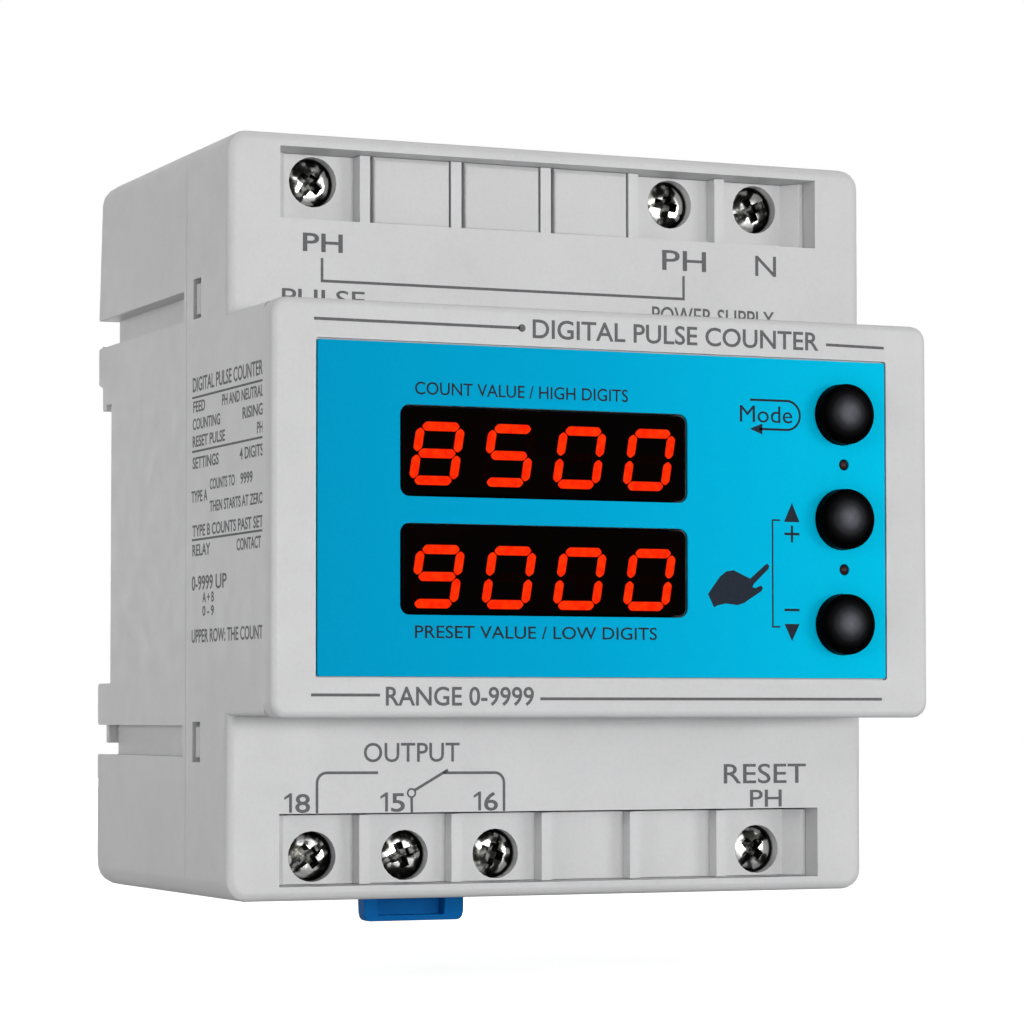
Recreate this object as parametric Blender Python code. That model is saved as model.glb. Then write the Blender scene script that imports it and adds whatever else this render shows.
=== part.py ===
# Digital counter in a modular enclosure that clips to a 35 mm rail.
# Metres. X is the width, -Y is the front, +Z is up.
# The origin is on the rail seat, at the middle of the rail's height.
# Depths are counted forward from the rearmost plane, heights up from the underside.

import math

import bmesh
import bpy
from mathutils import Matrix, Vector

# Enclosure
BODY_WIDTH = 0.0835
BODY_HEIGHT = 0.0900
WALL = 0.00165
FIT_GAP = 0.0003
CORNER_RADIUS = 0.0024
FRONT_EDGE_RADIUS = 0.0011
SHOULDER_DEPTH = 0.0515
HOUSING_SKIRT = 0.0157
LID_RISE = 0.0126
LID_THICKNESS = 0.0034
NECK_HEIGHT = 0.0468

# Rail side
SEAT_DEPTH = 0.0053
RAIL_WIDTH = 0.0350
RAIL_DROP = 0.0014
RAIL_ROOM = 0.00035
RAIL_FLANGE = 0.0021
HOOK_OVERLAP = 0.0007
HOOK_SETBACK = 0.0017
HOOK_HEIGHT = 0.0030
REAR_LEAN = 0.0016
REAR_TOP_RADIUS = 0.0030
REAR_LOW_RADIUS = 0.0030
NOTCH_DEPTH = 0.0018
UPPER_NOTCH_RAISE = 0.00755
UPPER_NOTCH_HEIGHT = 0.0036
LOWER_NOTCH_DROP = 0.0053
LOWER_NOTCH_HEIGHT = 0.00375
GROOVE_DEPTH = 0.0022
GROOVE_STOP = 0.0010
REAR_LIP_DROP = 0.0023
REAR_LIP_THICKNESS = 0.0010
REAR_LIP_INSET = 0.0010

# Side latches
LATCH_WIDTH = 0.0037
LATCH_THICKNESS = 0.0015
LATCH_HOLD = 0.0078
WINDOW_SETBACK = 0.0027
WINDOW_LENGTH = 0.0029
WINDOW_HEIGHT = 0.0048
UPPER_LATCH_RAISE = 0.0005
LOWER_LATCH_DROP = 0.0001

# Terminals
TERMINAL_COUNT = 6
RECESS_MARGIN = 0.00635
UPPER_ACTIVE = (0, 4, 5)
UPPER_PLUGGED = (1, 2, 3)
LOWER_ACTIVE = (0, 1, 2, 5)
RECESS_HEIGHT = 0.0085
COLLAR_WALL = 0.0016
COLLAR_SETBACK = 0.0022
RIB_SETBACK = 0.0031
RIB_WIDTH = 0.00134
END_RIB_WIDTH = 0.0004
END_SLOPE = 0.0016
CELL_DEPTH = 0.0020
EAR_WIDTH = 0.0016
SCREW_HOLE_ROOM = 0.0002
SCREW_SINK = 0.0020
HEAD_RADIUS = 0.00265
HEAD_HEIGHT = 0.0018
SHANK_RADIUS = 0.0014
SHANK_ROOM = 0.0004
HEAD_SEAT = 0.0010
DRIVE_WIDTH = 0.0010
DRIVE_RIM = 0.00065
DRIVE_DEPTH = 0.0011
CAGE_LENGTH = 0.0054
CAGE_INSET = 0.0006
CAGE_PARTING = 0.0034
CAGE_SIDE = 0.0009
CAGE_PLATE = 0.0011
CAGE_TRAVEL = 0.0040
WIRE_GAP = 0.0045
BAR_THICKNESS = 0.0010
BAR_ROOM = 0.0007
BAR_REACH = 0.0120
PLUG_ROOM = 0.00025
PLUG_PEG_LENGTH = 0.0032
PLUG_EDGE = 0.0004

# Lid, label and windows
LID_OVERHANG = 0.0003
LID_FRONT_RADIUS = 0.0008
LID_CORNER_RADIUS = 0.0018
SKIRT_DEPTH = 0.0036
SKIRT_WALL = 0.0014
LABEL_LEFT_MARGIN = 0.0053
LABEL_RIGHT_MARGIN = 0.0058
LABEL_END_MARGIN = 0.0046
LABEL_THICKNESS = 0.0004
PANE_LEFT_MARGIN = 0.0101
PANE_RIGHT_MARGIN = 0.02655
PANE_END_MARGIN = 0.007125
PANE_PARTING = 0.00305
PANE_CORNER = 0.0011
PANE_FLANGE = 0.0011
PANE_FLANGE_THICKNESS = 0.0010

# Buttons and lamps
BUTTON_MARGIN = 0.00565
BUTTON_END_MARGIN = 0.00023
BUTTON_PARTING = 0.00498
BUTTON_RISE = 0.0014
BUTTON_CROWN = 0.0007
BUTTON_FLANGE = 0.0006
BUTTON_FLANGE_THICKNESS = 0.0008
BUTTON_STEM_RADIUS = 0.0016
BUTTON_STEM_REACH = 0.0012
BUTTON_TRAVEL = 0.0006
LAMP_RAISE = 0.0003
LAMP_RADIUS = 0.00065
LAMP_COLLAR = 0.0004

# Boards and what stands on them
BOARD_THICKNESS = 0.0016
DISPLAY_BOARD_SIDE_ROOM = 0.0021
DISPLAY_BOARD_END_ROOM = 0.00175
POWER_BOARD_SIDE_ROOM = 0.0011
POWER_BOARD_END_ROOM = 0.00085
POST_RADIUS = 0.0030
POST_SIDE_INSET = 0.0060
LOWER_POST_DROP = 0.0037
UPPER_POST_RAISE = 0.0044
LID_POST_RADIUS = 0.0018
LID_POST_INSET = 0.0040
MODULE_TRIM = 0.0004
SWITCH_SIZE = 0.0060
SWITCH_HEIGHT = 0.0030
CORE_HALF_WIDTH = 0.0150
CORE_HALF_HEIGHT = 0.0065
CORE_DEPTH = 0.0205
CORE_SIDE_INSET = 0.0202
CORE_RAISE = 0.0085
WINDING_HALF_WIDTH = 0.0105
WINDING_HALF_HEIGHT = 0.0115
RELAY_WIDTH = 0.0190
RELAY_HEIGHT = 0.0155
RELAY_DEPTH = 0.0155
RELAY_SIDE_INSET = 0.0090
RELAY_PARTING = 0.0030
FILM_WIDTH = 0.0180
FILM_HEIGHT = 0.0070
FILM_DEPTH = 0.0130
FILM_SIDE_INSET = 0.0050
FILM_RAISE = 0.0150
CAN_RADIUS = 0.0050
CAN_DEPTH = 0.0160
CAN_SIDE_INSET = 0.0170
CAN_RAISE = 0.0030
VARISTOR_RADIUS = 0.0050
VARISTOR_THICKNESS = 0.0040
VARISTOR_SIDE_INSET = 0.0090
VARISTOR_RAISE = 0.0070
CHIP_WIDTH = 0.0130
CHIP_HEIGHT = 0.0075
CHIP_DEPTH = 0.0025
PIN_COUNT = 6
PIN_PITCH = 0.00254
PIN_WIDTH = 0.00064
PIN_ROW_INSET = 0.0030
PIN_ROW_DROP = 0.0050

# Rail clip
CLIP_WIDTH = 0.01485
CLIP_SETBACK = 0.0009
CLIP_PROUD = 0.00545
CLIP_BITE = 0.0011
CLIP_TRAVEL = 0.0040
CLIP_SLOT_WIDTH = 0.0094
CLIP_SLOT_HEIGHT = 0.0021
CLIP_SLOT_DEPTH = 0.0019
CLIP_SLOT_RAISE = 0.00075
SPRING_WIDTH = 0.0090
SPRING_CUT = 0.0014
SPRING_TAIL_ROOM = 0.0084
SPRING_TIP_ROOM = 0.0092
CHANNEL_WALL = 0.0018
CHANNEL_LIP = 0.0024
CHANNEL_LIP_THICKNESS = 0.0007

HALF_WIDTH = BODY_WIDTH / 2
INNER_HALF = HALF_WIDTH - WALL
MIDDLE_HEIGHT = BODY_HEIGHT / 2
SEAM_DEPTH = SHOULDER_DEPTH - HOUSING_SKIRT
LID_SEAM_DEPTH = SHOULDER_DEPTH + LID_RISE
LID_DEPTH = LID_SEAM_DEPTH + LID_THICKNESS
NECK_LOW = MIDDLE_HEIGHT - NECK_HEIGHT / 2
NECK_HIGH = MIDDLE_HEIGHT + NECK_HEIGHT / 2

RAIL_CENTRE = MIDDLE_HEIGHT - RAIL_DROP
SEAT_LOW = RAIL_CENTRE - RAIL_WIDTH / 2 - RAIL_ROOM
SEAT_HIGH = RAIL_CENTRE + RAIL_WIDTH / 2 + RAIL_ROOM
UPPER_NOTCH_LOW = SEAT_HIGH + UPPER_NOTCH_RAISE
UPPER_NOTCH_HIGH = UPPER_NOTCH_LOW + UPPER_NOTCH_HEIGHT
LOWER_NOTCH_HIGH = SEAT_LOW - LOWER_NOTCH_DROP
LOWER_NOTCH_LOW = LOWER_NOTCH_HIGH - LOWER_NOTCH_HEIGHT
GROOVE_END = SEAM_DEPTH - GROOVE_STOP
LATCH_ROOT = SEAM_DEPTH - LATCH_HOLD
WINDOW_DEPTH = SEAM_DEPTH + WINDOW_SETBACK
UPPER_LATCH_HEIGHT = (UPPER_NOTCH_LOW + UPPER_NOTCH_HIGH) / 2 + UPPER_LATCH_RAISE
LOWER_LATCH_HEIGHT = (LOWER_NOTCH_LOW + LOWER_NOTCH_HIGH) / 2 - LOWER_LATCH_DROP
CLIP_FRONT = SEAT_DEPTH - CLIP_SETBACK
CLIP_THICKNESS = CLIP_FRONT - CHANNEL_LIP_THICKNESS - FIT_GAP

RECESS_HALF = HALF_WIDTH - RECESS_MARGIN
TERMINAL_PITCH = 2 * RECESS_HALF / TERMINAL_COUNT
COLLAR_REAR = SEAM_DEPTH + COLLAR_SETBACK
SCREW_INSET = WALL + CAGE_INSET + CAGE_LENGTH / 2
SCREW_HOLE_RADIUS = HEAD_RADIUS + SCREW_HOLE_ROOM
SHANK_HOLE_RADIUS = SHANK_RADIUS + SHANK_ROOM
DRIVE_LENGTH = 2 * (HEAD_RADIUS - DRIVE_RIM)
PLUG_PEG_RADIUS = SCREW_HOLE_RADIUS - PLUG_ROOM
CAGE_WIDTH = TERMINAL_PITCH - CAGE_PARTING
BAR_WIDTH = CAGE_WIDTH - 2 * CAGE_SIDE - 2 * BAR_ROOM
RIB_DEPTH = SHOULDER_DEPTH - RIB_SETBACK
FLOOR_DEPTH = RIB_DEPTH - CELL_DEPTH
HEAD_TOP = FLOOR_DEPTH - SCREW_SINK
HEAD_UNDER = HEAD_TOP - HEAD_HEIGHT
SEAT_FRONT = HEAD_UNDER - FIT_GAP
CHAMBER_FRONT = SEAT_FRONT - HEAD_SEAT
CAGE_FRONT = CHAMBER_FRONT - FIT_GAP - CAGE_TRAVEL
BAR_FRONT = CAGE_FRONT - CAGE_PLATE - FIT_GAP
BAR_REAR = BAR_FRONT - BAR_THICKNESS
CAGE_REAR = BAR_REAR - WIRE_GAP - CAGE_PLATE
POWER_BOARD_FRONT = CAGE_REAR - FIT_GAP
STRIP_REAR = POWER_BOARD_FRONT + FIT_GAP

LABEL_LEFT = -HALF_WIDTH - LID_OVERHANG + LABEL_LEFT_MARGIN
LABEL_RIGHT = HALF_WIDTH + LID_OVERHANG - LABEL_RIGHT_MARGIN
LABEL_X = (LABEL_LEFT + LABEL_RIGHT) / 2
LABEL_WIDTH = LABEL_RIGHT - LABEL_LEFT
LABEL_HEIGHT = NECK_HEIGHT + 2 * LID_OVERHANG - 2 * LABEL_END_MARGIN
PANE_X = (LABEL_LEFT + PANE_LEFT_MARGIN + LABEL_RIGHT - PANE_RIGHT_MARGIN) / 2
PANE_WIDTH = LABEL_WIDTH - PANE_LEFT_MARGIN - PANE_RIGHT_MARGIN
PANE_TALL = (LABEL_HEIGHT - PANE_PARTING) / 2 - PANE_END_MARGIN
UPPER_PANE_HEIGHT = MIDDLE_HEIGHT + (PANE_TALL + PANE_PARTING) / 2
LOWER_PANE_HEIGHT = MIDDLE_HEIGHT - (PANE_TALL + PANE_PARTING) / 2
BUTTON_X = LABEL_RIGHT - BUTTON_MARGIN
BUTTON_PITCH = (LABEL_HEIGHT - 2 * BUTTON_END_MARGIN) / 3
BUTTON_RADIUS = (BUTTON_PITCH - BUTTON_PARTING) / 2
BUTTON_HEIGHTS = (MIDDLE_HEIGHT + BUTTON_PITCH, MIDDLE_HEIGHT, MIDDLE_HEIGHT - BUTTON_PITCH)
LAMP_X = BUTTON_X
LAMP_HEIGHTS = tuple(MIDDLE_HEIGHT + LAMP_RAISE + side * BUTTON_PITCH / 2 for side in (1, -1))
LAMP_BODY_RADIUS = LAMP_RADIUS + FIT_GAP + LAMP_COLLAR

BUTTON_STEM_END = LID_SEAM_DEPTH - FIT_GAP - BUTTON_FLANGE_THICKNESS - BUTTON_STEM_REACH
SWITCH_TOP = BUTTON_STEM_END - BUTTON_TRAVEL - FIT_GAP
DISPLAY_BOARD_DEPTH = SWITCH_TOP - SWITCH_HEIGHT - FIT_GAP - BOARD_THICKNESS
DISPLAY_BOARD_WIDTH = 2 * (INNER_HALF - DISPLAY_BOARD_SIDE_ROOM)
DISPLAY_BOARD_HEIGHT = NECK_HEIGHT - 2 * (WALL + DISPLAY_BOARD_END_ROOM)
POWER_BOARD_WIDTH = 2 * (INNER_HALF - POWER_BOARD_SIDE_ROOM)
POWER_BOARD_HEIGHT = BODY_HEIGHT - 2 * (WALL + POWER_BOARD_END_ROOM)
POST_X = POWER_BOARD_WIDTH / 2 - POST_SIDE_INSET
LID_POST_X = DISPLAY_BOARD_WIDTH / 2 - LID_POST_RADIUS


def at_depth(depth):
    return SEAT_DEPTH - depth


def at_height(height):
    return height - RAIL_CENTRE


def side_height(side, inset):
    """Z of a point that lies inset in from the top (side 1) or from the underside (side -1)."""
    return at_height(BODY_HEIGHT - inset if side > 0 else inset)


def terminal_x(index):
    return (index - (TERMINAL_COUNT - 1) / 2) * TERMINAL_PITCH


# Outlines


def rounded(corners, steps=4):
    """Closed outline from (a, b) or (a, b, radius) corners, each radius turned into an arc."""
    points = []
    count = len(corners)
    for index, corner in enumerate(corners):
        here = Vector(corner[:2])
        radius = corner[2] if len(corner) > 2 else 0
        if not radius:
            points.append(tuple(here))
            continue
        before = (Vector(corners[index - 1][:2]) - here).normalized()
        after = (Vector(corners[(index + 1) % count][:2]) - here).normalized()
        half = before.angle(after) / 2
        reach = radius / math.tan(half)
        centre = here + (before + after).normalized() * radius / math.sin(half)
        start = here + before * reach - centre
        finish = here + after * reach - centre
        turn = start.angle_signed(finish)
        for step in range(steps + 1):
            angle = -turn * step / steps
            spun = Matrix.Rotation(angle, 2) @ start
            points.append(tuple(centre + spun))
    return points


def rectangle(half_a, half_b, centre=(0, 0), radius=0, steps=4):
    a, b = centre
    corners = [
        (a - half_a, b - half_b, radius),
        (a + half_a, b - half_b, radius),
        (a + half_a, b + half_b, radius),
        (a - half_a, b + half_b, radius),
    ]
    return rounded(corners, steps)


def circle(radius, steps, centre=(0, 0)):
    turns = [math.tau * step / steps for step in range(steps)]
    return [(centre[0] + radius * math.cos(t), centre[1] + radius * math.sin(t)) for t in turns]


# Solids


def material(name, colour, roughness=0.5, metallic=0.0, alpha=1.0):
    made = bpy.data.materials.get(name) or bpy.data.materials.new(name)
    made.use_nodes = True
    shader = made.node_tree.nodes["Principled BSDF"]
    shader.inputs["Base Color"].default_value = (*colour, 1.0)
    shader.inputs["Roughness"].default_value = roughness
    shader.inputs["Metallic"].default_value = metallic
    shader.inputs["Alpha"].default_value = alpha
    made.diffuse_color = (*colour, alpha)
    return made


def keep(name, bm):
    """A new object that holds the shape, with its faces pointing out."""
    bmesh.ops.remove_doubles(bm, verts=bm.verts, dist=1e-7)
    bmesh.ops.recalc_face_normals(bm, faces=bm.faces)
    mesh = bpy.data.meshes.new(name)
    bm.to_mesh(mesh)
    bm.free()
    made = bpy.data.objects.new(name, mesh)
    bpy.context.scene.collection.objects.link(made)
    return made


def add_prism(bm, outline, axis, low, high):
    """Adds the outline, drawn across the axis, drawn out along it from low to high."""
    place = {
        "X": lambda a, b, c: (c, a, b),
        "Y": lambda a, b, c: (a, c, b),
        "Z": lambda a, b, c: (a, b, c),
    }[axis]
    face = bm.faces.new([bm.verts.new(place(a, b, low)) for a, b in outline])
    drawn = bmesh.ops.extrude_face_region(bm, geom=[face])
    moved = [item for item in drawn["geom"] if isinstance(item, bmesh.types.BMVert)]
    bmesh.ops.translate(bm, verts=moved, vec=Vector(place(0, 0, high - low)))
    return bm


def prism(name, outline, axis, low, high):
    return keep(name, add_prism(bmesh.new(), outline, axis, low, high))


def add_block(bm, x, y, z):
    outline = [(x[0], z[0]), (x[1], z[0]), (x[1], z[1]), (x[0], z[1])]
    return add_prism(bm, outline, "Y", min(y), max(y))


def block(name, x, y, z):
    return keep(name, add_block(bmesh.new(), x, y, z))


def blocks(name, spans):
    bm = bmesh.new()
    for x, y, z in spans:
        add_block(bm, x, y, z)
    return keep(name, bm)


def turned(name, profile, centre, steps=24):
    """A solid turned about a line along Y. The profile is (radius, y) from one end of the line to the other."""
    bm = bmesh.new()
    verts = [bm.verts.new((radius, y, 0)) for radius, y in profile]
    edges = [bm.edges.new(pair) for pair in zip(verts, verts[1:])]
    bmesh.ops.spin(
        bm,
        geom=verts + edges,
        cent=(0, 0, 0),
        axis=(0, 1, 0),
        angle=math.tau,
        steps=steps,
        use_merge=True,
    )
    bmesh.ops.translate(bm, verts=bm.verts, vec=(centre[0], 0, centre[1]))
    return keep(name, bm)


def round_end(body, axis, place, width, segments=2):
    """Rounds the rim of the flat end that lies at place along the axis."""
    number = "XYZ".index(axis)
    bm = bmesh.new()
    bm.from_mesh(body.data)
    rim = [
        edge
        for edge in bm.edges
        if all(abs(vert.co[number] - place) < 1e-6 for vert in edge.verts)
        and edge.calc_face_angle(0) > 0.1
    ]
    bmesh.ops.bevel(
        bm, geom=rim, offset=width, segments=segments, profile=0.5, affect="EDGES", clamp_overlap=True
    )
    bm.to_mesh(body.data)
    bm.free()
    return body


def combine(body, operation, others):
    for other in others:
        change = body.modifiers.new(f"{operation.lower()} {other.name}", "BOOLEAN")
        change.operation = operation
        change.solver = "EXACT"
        change.object = other
        other.hide_render = True
        other.display_type = "WIRE"
    return body


def cut(body, *others):
    return combine(body, "DIFFERENCE", others)


def fuse(body, *others):
    return combine(body, "UNION", others)


def settle(body):
    """The object with its modifiers made part of its mesh."""
    bpy.context.view_layer.update()
    graph = bpy.context.evaluated_depsgraph_get()
    mesh = bpy.data.meshes.new_from_object(body.evaluated_get(graph))
    body.modifiers.clear()
    body.data = mesh
    return body


def finish(body, look, sharp_angle=35):
    """Gives the object its material and smooth shading between sharp edges."""
    body.data.materials.clear()
    body.data.materials.append(look)
    body.data.shade_smooth()
    body.data.set_sharp_from_angle(angle=math.radians(sharp_angle))
    return body


def with_origin(body, place):
    """Moves the object's origin to place and leaves the shape where it is."""
    offset = Vector(place)
    body.data.transform(Matrix.Translation(-offset))
    body.location = offset
    return body


# Enclosure


def rear_outline():
    """The enclosure's side view behind the seam, as (y, z) corners from the seam's underside round the rear."""
    hook_low = SEAT_HIGH - HOOK_OVERLAP
    front = SEAM_DEPTH - FIT_GAP / 2
    corners = [
        (front, 0),
        (0, 0, REAR_LOW_RADIUS),
        (0, LOWER_NOTCH_LOW, 0.0004),
        (NOTCH_DEPTH, LOWER_NOTCH_LOW),
        (NOTCH_DEPTH, LOWER_NOTCH_HIGH),
        (0, LOWER_NOTCH_HIGH, 0.0006),
        (0, SEAT_LOW, 0.0006),
        (SEAT_DEPTH, SEAT_LOW),
        (SEAT_DEPTH, SEAT_HIGH),
        (SEAT_DEPTH - RAIL_FLANGE, SEAT_HIGH),
        (SEAT_DEPTH - RAIL_FLANGE, hook_low),
        (HOOK_SETBACK, hook_low, 0.0004),
        (HOOK_SETBACK, hook_low + HOOK_HEIGHT, 0.0004),
        (0, hook_low + HOOK_HEIGHT + 0.0006, 0.0004),
        (0, UPPER_NOTCH_LOW, 0.0004),
        (NOTCH_DEPTH, UPPER_NOTCH_LOW, 0.0006),
        (NOTCH_DEPTH, UPPER_NOTCH_HIGH),
        (0, UPPER_NOTCH_HIGH),
        (REAR_LEAN, BODY_HEIGHT, REAR_TOP_RADIUS),
        (front, BODY_HEIGHT),
    ]
    return rounded([(at_depth(c[0]), at_height(c[1]), *c[2:]) for c in corners])


def rear_cavity_outline():
    """The rear shell's hollow in side view, one wall in from its outline."""
    behind_notch = NOTCH_DEPTH + WALL
    behind_seat = SEAT_DEPTH + WALL
    corners = [
        (SEAM_DEPTH + WALL, WALL),
        (WALL, WALL, 0.0015),
        (WALL, LOWER_NOTCH_LOW - WALL),
        (behind_notch, LOWER_NOTCH_LOW - WALL),
        (behind_notch, SEAT_LOW + RAIL_ROOM - WALL),
        (behind_seat, SEAT_LOW + RAIL_ROOM - WALL),
        (behind_seat, UPPER_NOTCH_LOW - WALL),
        (behind_notch, UPPER_NOTCH_LOW - WALL),
        (behind_notch, UPPER_NOTCH_HIGH + WALL),
        (WALL + 0.0003, UPPER_NOTCH_HIGH + WALL),
        (REAR_LEAN + WALL, BODY_HEIGHT - WALL, 0.0015),
        (SEAM_DEPTH + WALL, BODY_HEIGHT - WALL),
    ]
    return rounded([(at_depth(c[0]), at_height(c[1]), *c[2:]) for c in corners], 3)


def make_rear_base(shell):
    centre = (0, at_height(BODY_HEIGHT / 2))
    front = at_depth(SEAM_DEPTH - FIT_GAP / 2)
    body = prism(
        "rear_base",
        rectangle(HALF_WIDTH, BODY_HEIGHT / 2, centre, CORNER_RADIUS),
        "Y",
        front,
        at_depth(0),
    )
    side_view = prism("rear_side_view", rear_outline(), "X", -BODY_WIDTH, BODY_WIDTH)
    combine(body, "INTERSECT", [side_view])
    hollow = prism("rear_hollow", rear_cavity_outline(), "X", -INNER_HALF, INNER_HALF)
    cut(body, hollow)

    # Grooves along the sides, each with its inner wall, and the latch arms that reach forward from them
    groove_low = LOWER_NOTCH_LOW, LOWER_NOTCH_HIGH
    groove_high = UPPER_NOTCH_LOW, UPPER_NOTCH_HIGH
    inner_wall = HALF_WIDTH - GROOVE_DEPTH - WALL
    backing = []
    grooves = []
    arms = []
    for side in (-1, 1):
        for (low, high), latch in ((groove_low, LOWER_LATCH_HEIGHT), (groove_high, UPPER_LATCH_HEIGHT)):
            behind = sorted((side * inner_wall, side * (HALF_WIDTH - WALL / 2)))
            backing.append(
                (
                    behind,
                    (at_depth(SEAM_DEPTH - FIT_GAP / 2 - 0.0001), at_depth(NOTCH_DEPTH + WALL / 2)),
                    (at_height(low - WALL), at_height(high + WALL)),
                )
            )
            grooves.append(
                (
                    sorted((side * (HALF_WIDTH - GROOVE_DEPTH), side * BODY_WIDTH)),
                    (at_depth(GROOVE_END), at_depth(NOTCH_DEPTH - 0.0002)),
                    (at_height(low), at_height(high)),
                )
            )
            arm_outer = INNER_HALF - FIT_GAP
            arm_inner = arm_outer - LATCH_THICKNESS
            barb = HALF_WIDTH - FIT_GAP
            barb_rear = WINDOW_DEPTH + FIT_GAP
            barb_front = WINDOW_DEPTH + WINDOW_LENGTH - FIT_GAP
            outline = [
                (side * arm_inner, at_depth(LATCH_ROOT)),
                (side * arm_outer, at_depth(LATCH_ROOT)),
                (side * arm_outer, at_depth(barb_rear)),
                (side * barb, at_depth(barb_rear)),
                (side * barb, at_depth(barb_front - 0.0012)),
                (side * arm_outer, at_depth(barb_front)),
                (side * arm_outer, at_depth(barb_front + 0.0006)),
                (side * arm_inner, at_depth(barb_front + 0.0006)),
            ]
            arm = prism(
                f"latch_arm_{'right' if side > 0 else 'left'}_{'high' if latch > MIDDLE_HEIGHT else 'low'}",
                outline,
                "Z",
                at_height(latch - LATCH_WIDTH / 2),
                at_height(latch + LATCH_WIDTH / 2),
            )
            arms.append(arm)
    fuse(body, blocks("groove_walls", backing), *arms)
    cut(body, blocks("side_grooves", grooves))

    # Lip that hangs into the lower notch at the rear
    lip = block(
        "rear_lip",
        (-HALF_WIDTH + REAR_LIP_INSET, HALF_WIDTH - REAR_LIP_INSET),
        (at_depth(0.0005), at_depth(0.0005 + REAR_LIP_THICKNESS)),
        (at_height(LOWER_NOTCH_HIGH - REAR_LIP_DROP), at_height(LOWER_NOTCH_HIGH + 0.0005)),
    )
    fuse(body, lip)

    # Housing round the rail clip, then the channel that it slides in
    channel_half = CLIP_WIDTH / 2 + FIT_GAP
    channel_front = CLIP_FRONT + FIT_GAP
    channel_rear = CLIP_FRONT - CLIP_THICKNESS - FIT_GAP
    channel_walls = block(
        "channel_walls",
        (-channel_half - CHANNEL_WALL, channel_half + CHANNEL_WALL),
        (at_depth(channel_rear - CHANNEL_LIP_THICKNESS + 0.0001), at_depth(channel_front + CHANNEL_WALL)),
        (at_height(0.0001), at_height(SEAT_LOW)),
    )
    channel = blocks(
        "clip_channel",
        [
            (
                (-channel_half, channel_half),
                (at_depth(channel_rear), at_depth(channel_front)),
                (at_height(-0.001), at_height(SEAT_LOW + 0.001)),
            )
        ],
    )
    channel_mouth = block(
        "channel_mouth",
        (-channel_half + CHANNEL_LIP, channel_half - CHANNEL_LIP),
        (at_depth(channel_rear + 0.0002), at_depth(-0.002)),
        (at_height(-0.001), at_height(SEAT_LOW + 0.001)),
    )
    fuse(body, channel_walls)
    cut(body, channel, channel_mouth)

    # Posts under the power board
    posts = bmesh.new()
    for x in (-POST_X, POST_X):
        for height in (LOWER_NOTCH_LOW - LOWER_POST_DROP, UPPER_NOTCH_HIGH + UPPER_POST_RAISE):
            add_prism(
                posts,
                circle(POST_RADIUS, 16, (x, at_height(height))),
                "Y",
                at_depth(POWER_BOARD_FRONT - BOARD_THICKNESS - FIT_GAP),
                at_depth(WALL * 0.75),
            )
    fuse(body, keep("board_posts", posts))

    # Wire entries through the top and the underside
    entries = []
    entry_half = CAGE_WIDTH / 2 - CAGE_SIDE + 0.0003
    for side, active in ((1, UPPER_ACTIVE), (-1, LOWER_ACTIVE)):
        for index in active:
            x = terminal_x(index)
            entries.append(
                (
                    (x - entry_half, x + entry_half),
                    (at_depth(SEAM_DEPTH + 0.001), at_depth(BAR_REAR - WIRE_GAP - 0.0002)),
                    sorted((side_height(side, -0.001), side_height(side, WALL + 0.001))),
                )
            )
    cut(body, blocks("wire_entries", entries))
    return finish(settle(body), shell)


def make_front_housing(shell):
    middle = (0, at_height(BODY_HEIGHT / 2))
    rear = at_depth(SEAM_DEPTH + FIT_GAP / 2)
    shoulder = at_depth(SHOULDER_DEPTH)
    rim = at_depth(LID_SEAM_DEPTH - FIT_GAP)
    neck_middle = (0, at_height((NECK_LOW + NECK_HIGH) / 2))
    neck_half = (NECK_HIGH - NECK_LOW) / 2
    body = prism(
        "front_housing",
        rectangle(HALF_WIDTH, BODY_HEIGHT / 2, middle, CORNER_RADIUS, 5),
        "Y",
        shoulder,
        rear,
    )
    round_end(body, "Y", shoulder, FRONT_EDGE_RADIUS, 3)
    # The neck's sides run straight on from the body's sides, so its block starts behind the rounded rim
    neck = prism(
        "neck",
        rectangle(HALF_WIDTH, neck_half, neck_middle, LID_CORNER_RADIUS / 4, 2),
        "Y",
        rim,
        shoulder + 0.003,
    )
    fuse(body, neck)
    hollow = prism(
        "housing_hollow",
        rectangle(INNER_HALF, BODY_HEIGHT / 2 - WALL, middle, max(CORNER_RADIUS - WALL, 0.0002), 3),
        "Y",
        shoulder + WALL,
        rear + 0.001,
    )
    neck_hollow = prism(
        "neck_hollow",
        rectangle(INNER_HALF, neck_half - WALL, neck_middle, 0.0006, 3),
        "Y",
        rim - 0.001,
        shoulder + WALL + 0.001,
    )
    cut(body, hollow, neck_hollow)

    # Collar round each terminal recess
    collars = []
    tunnels = []
    for side in (1, -1):
        inner = WALL + RECESS_HEIGHT
        collars.append(
            (
                (-RECESS_HALF - COLLAR_WALL, RECESS_HALF + COLLAR_WALL),
                (shoulder + WALL / 2, at_depth(COLLAR_REAR)),
                sorted((side_height(side, WALL / 2), side_height(side, inner + COLLAR_WALL))),
            )
        )
        tunnels.append(
            (
                (-RECESS_HALF, RECESS_HALF),
                (shoulder - 0.001, at_depth(COLLAR_REAR) + 0.001),
                sorted((side_height(side, WALL), side_height(side, inner))),
            )
        )
    fuse(body, blocks("recess_collars", collars))
    cut(body, blocks("terminal_recesses", tunnels))

    # Windows that the rear shell's latches snap into
    windows = []
    for side in (-1, 1):
        for latch in (LOWER_LATCH_HEIGHT, UPPER_LATCH_HEIGHT):
            windows.append(
                (
                    sorted((side * (INNER_HALF - 0.001), side * BODY_WIDTH)),
                    (at_depth(WINDOW_DEPTH + WINDOW_LENGTH), at_depth(WINDOW_DEPTH)),
                    (at_height(latch - WINDOW_HEIGHT / 2), at_height(latch + WINDOW_HEIGHT / 2)),
                )
            )
    cut(body, blocks("latch_windows", windows))
    return finish(settle(body), shell)


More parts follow.
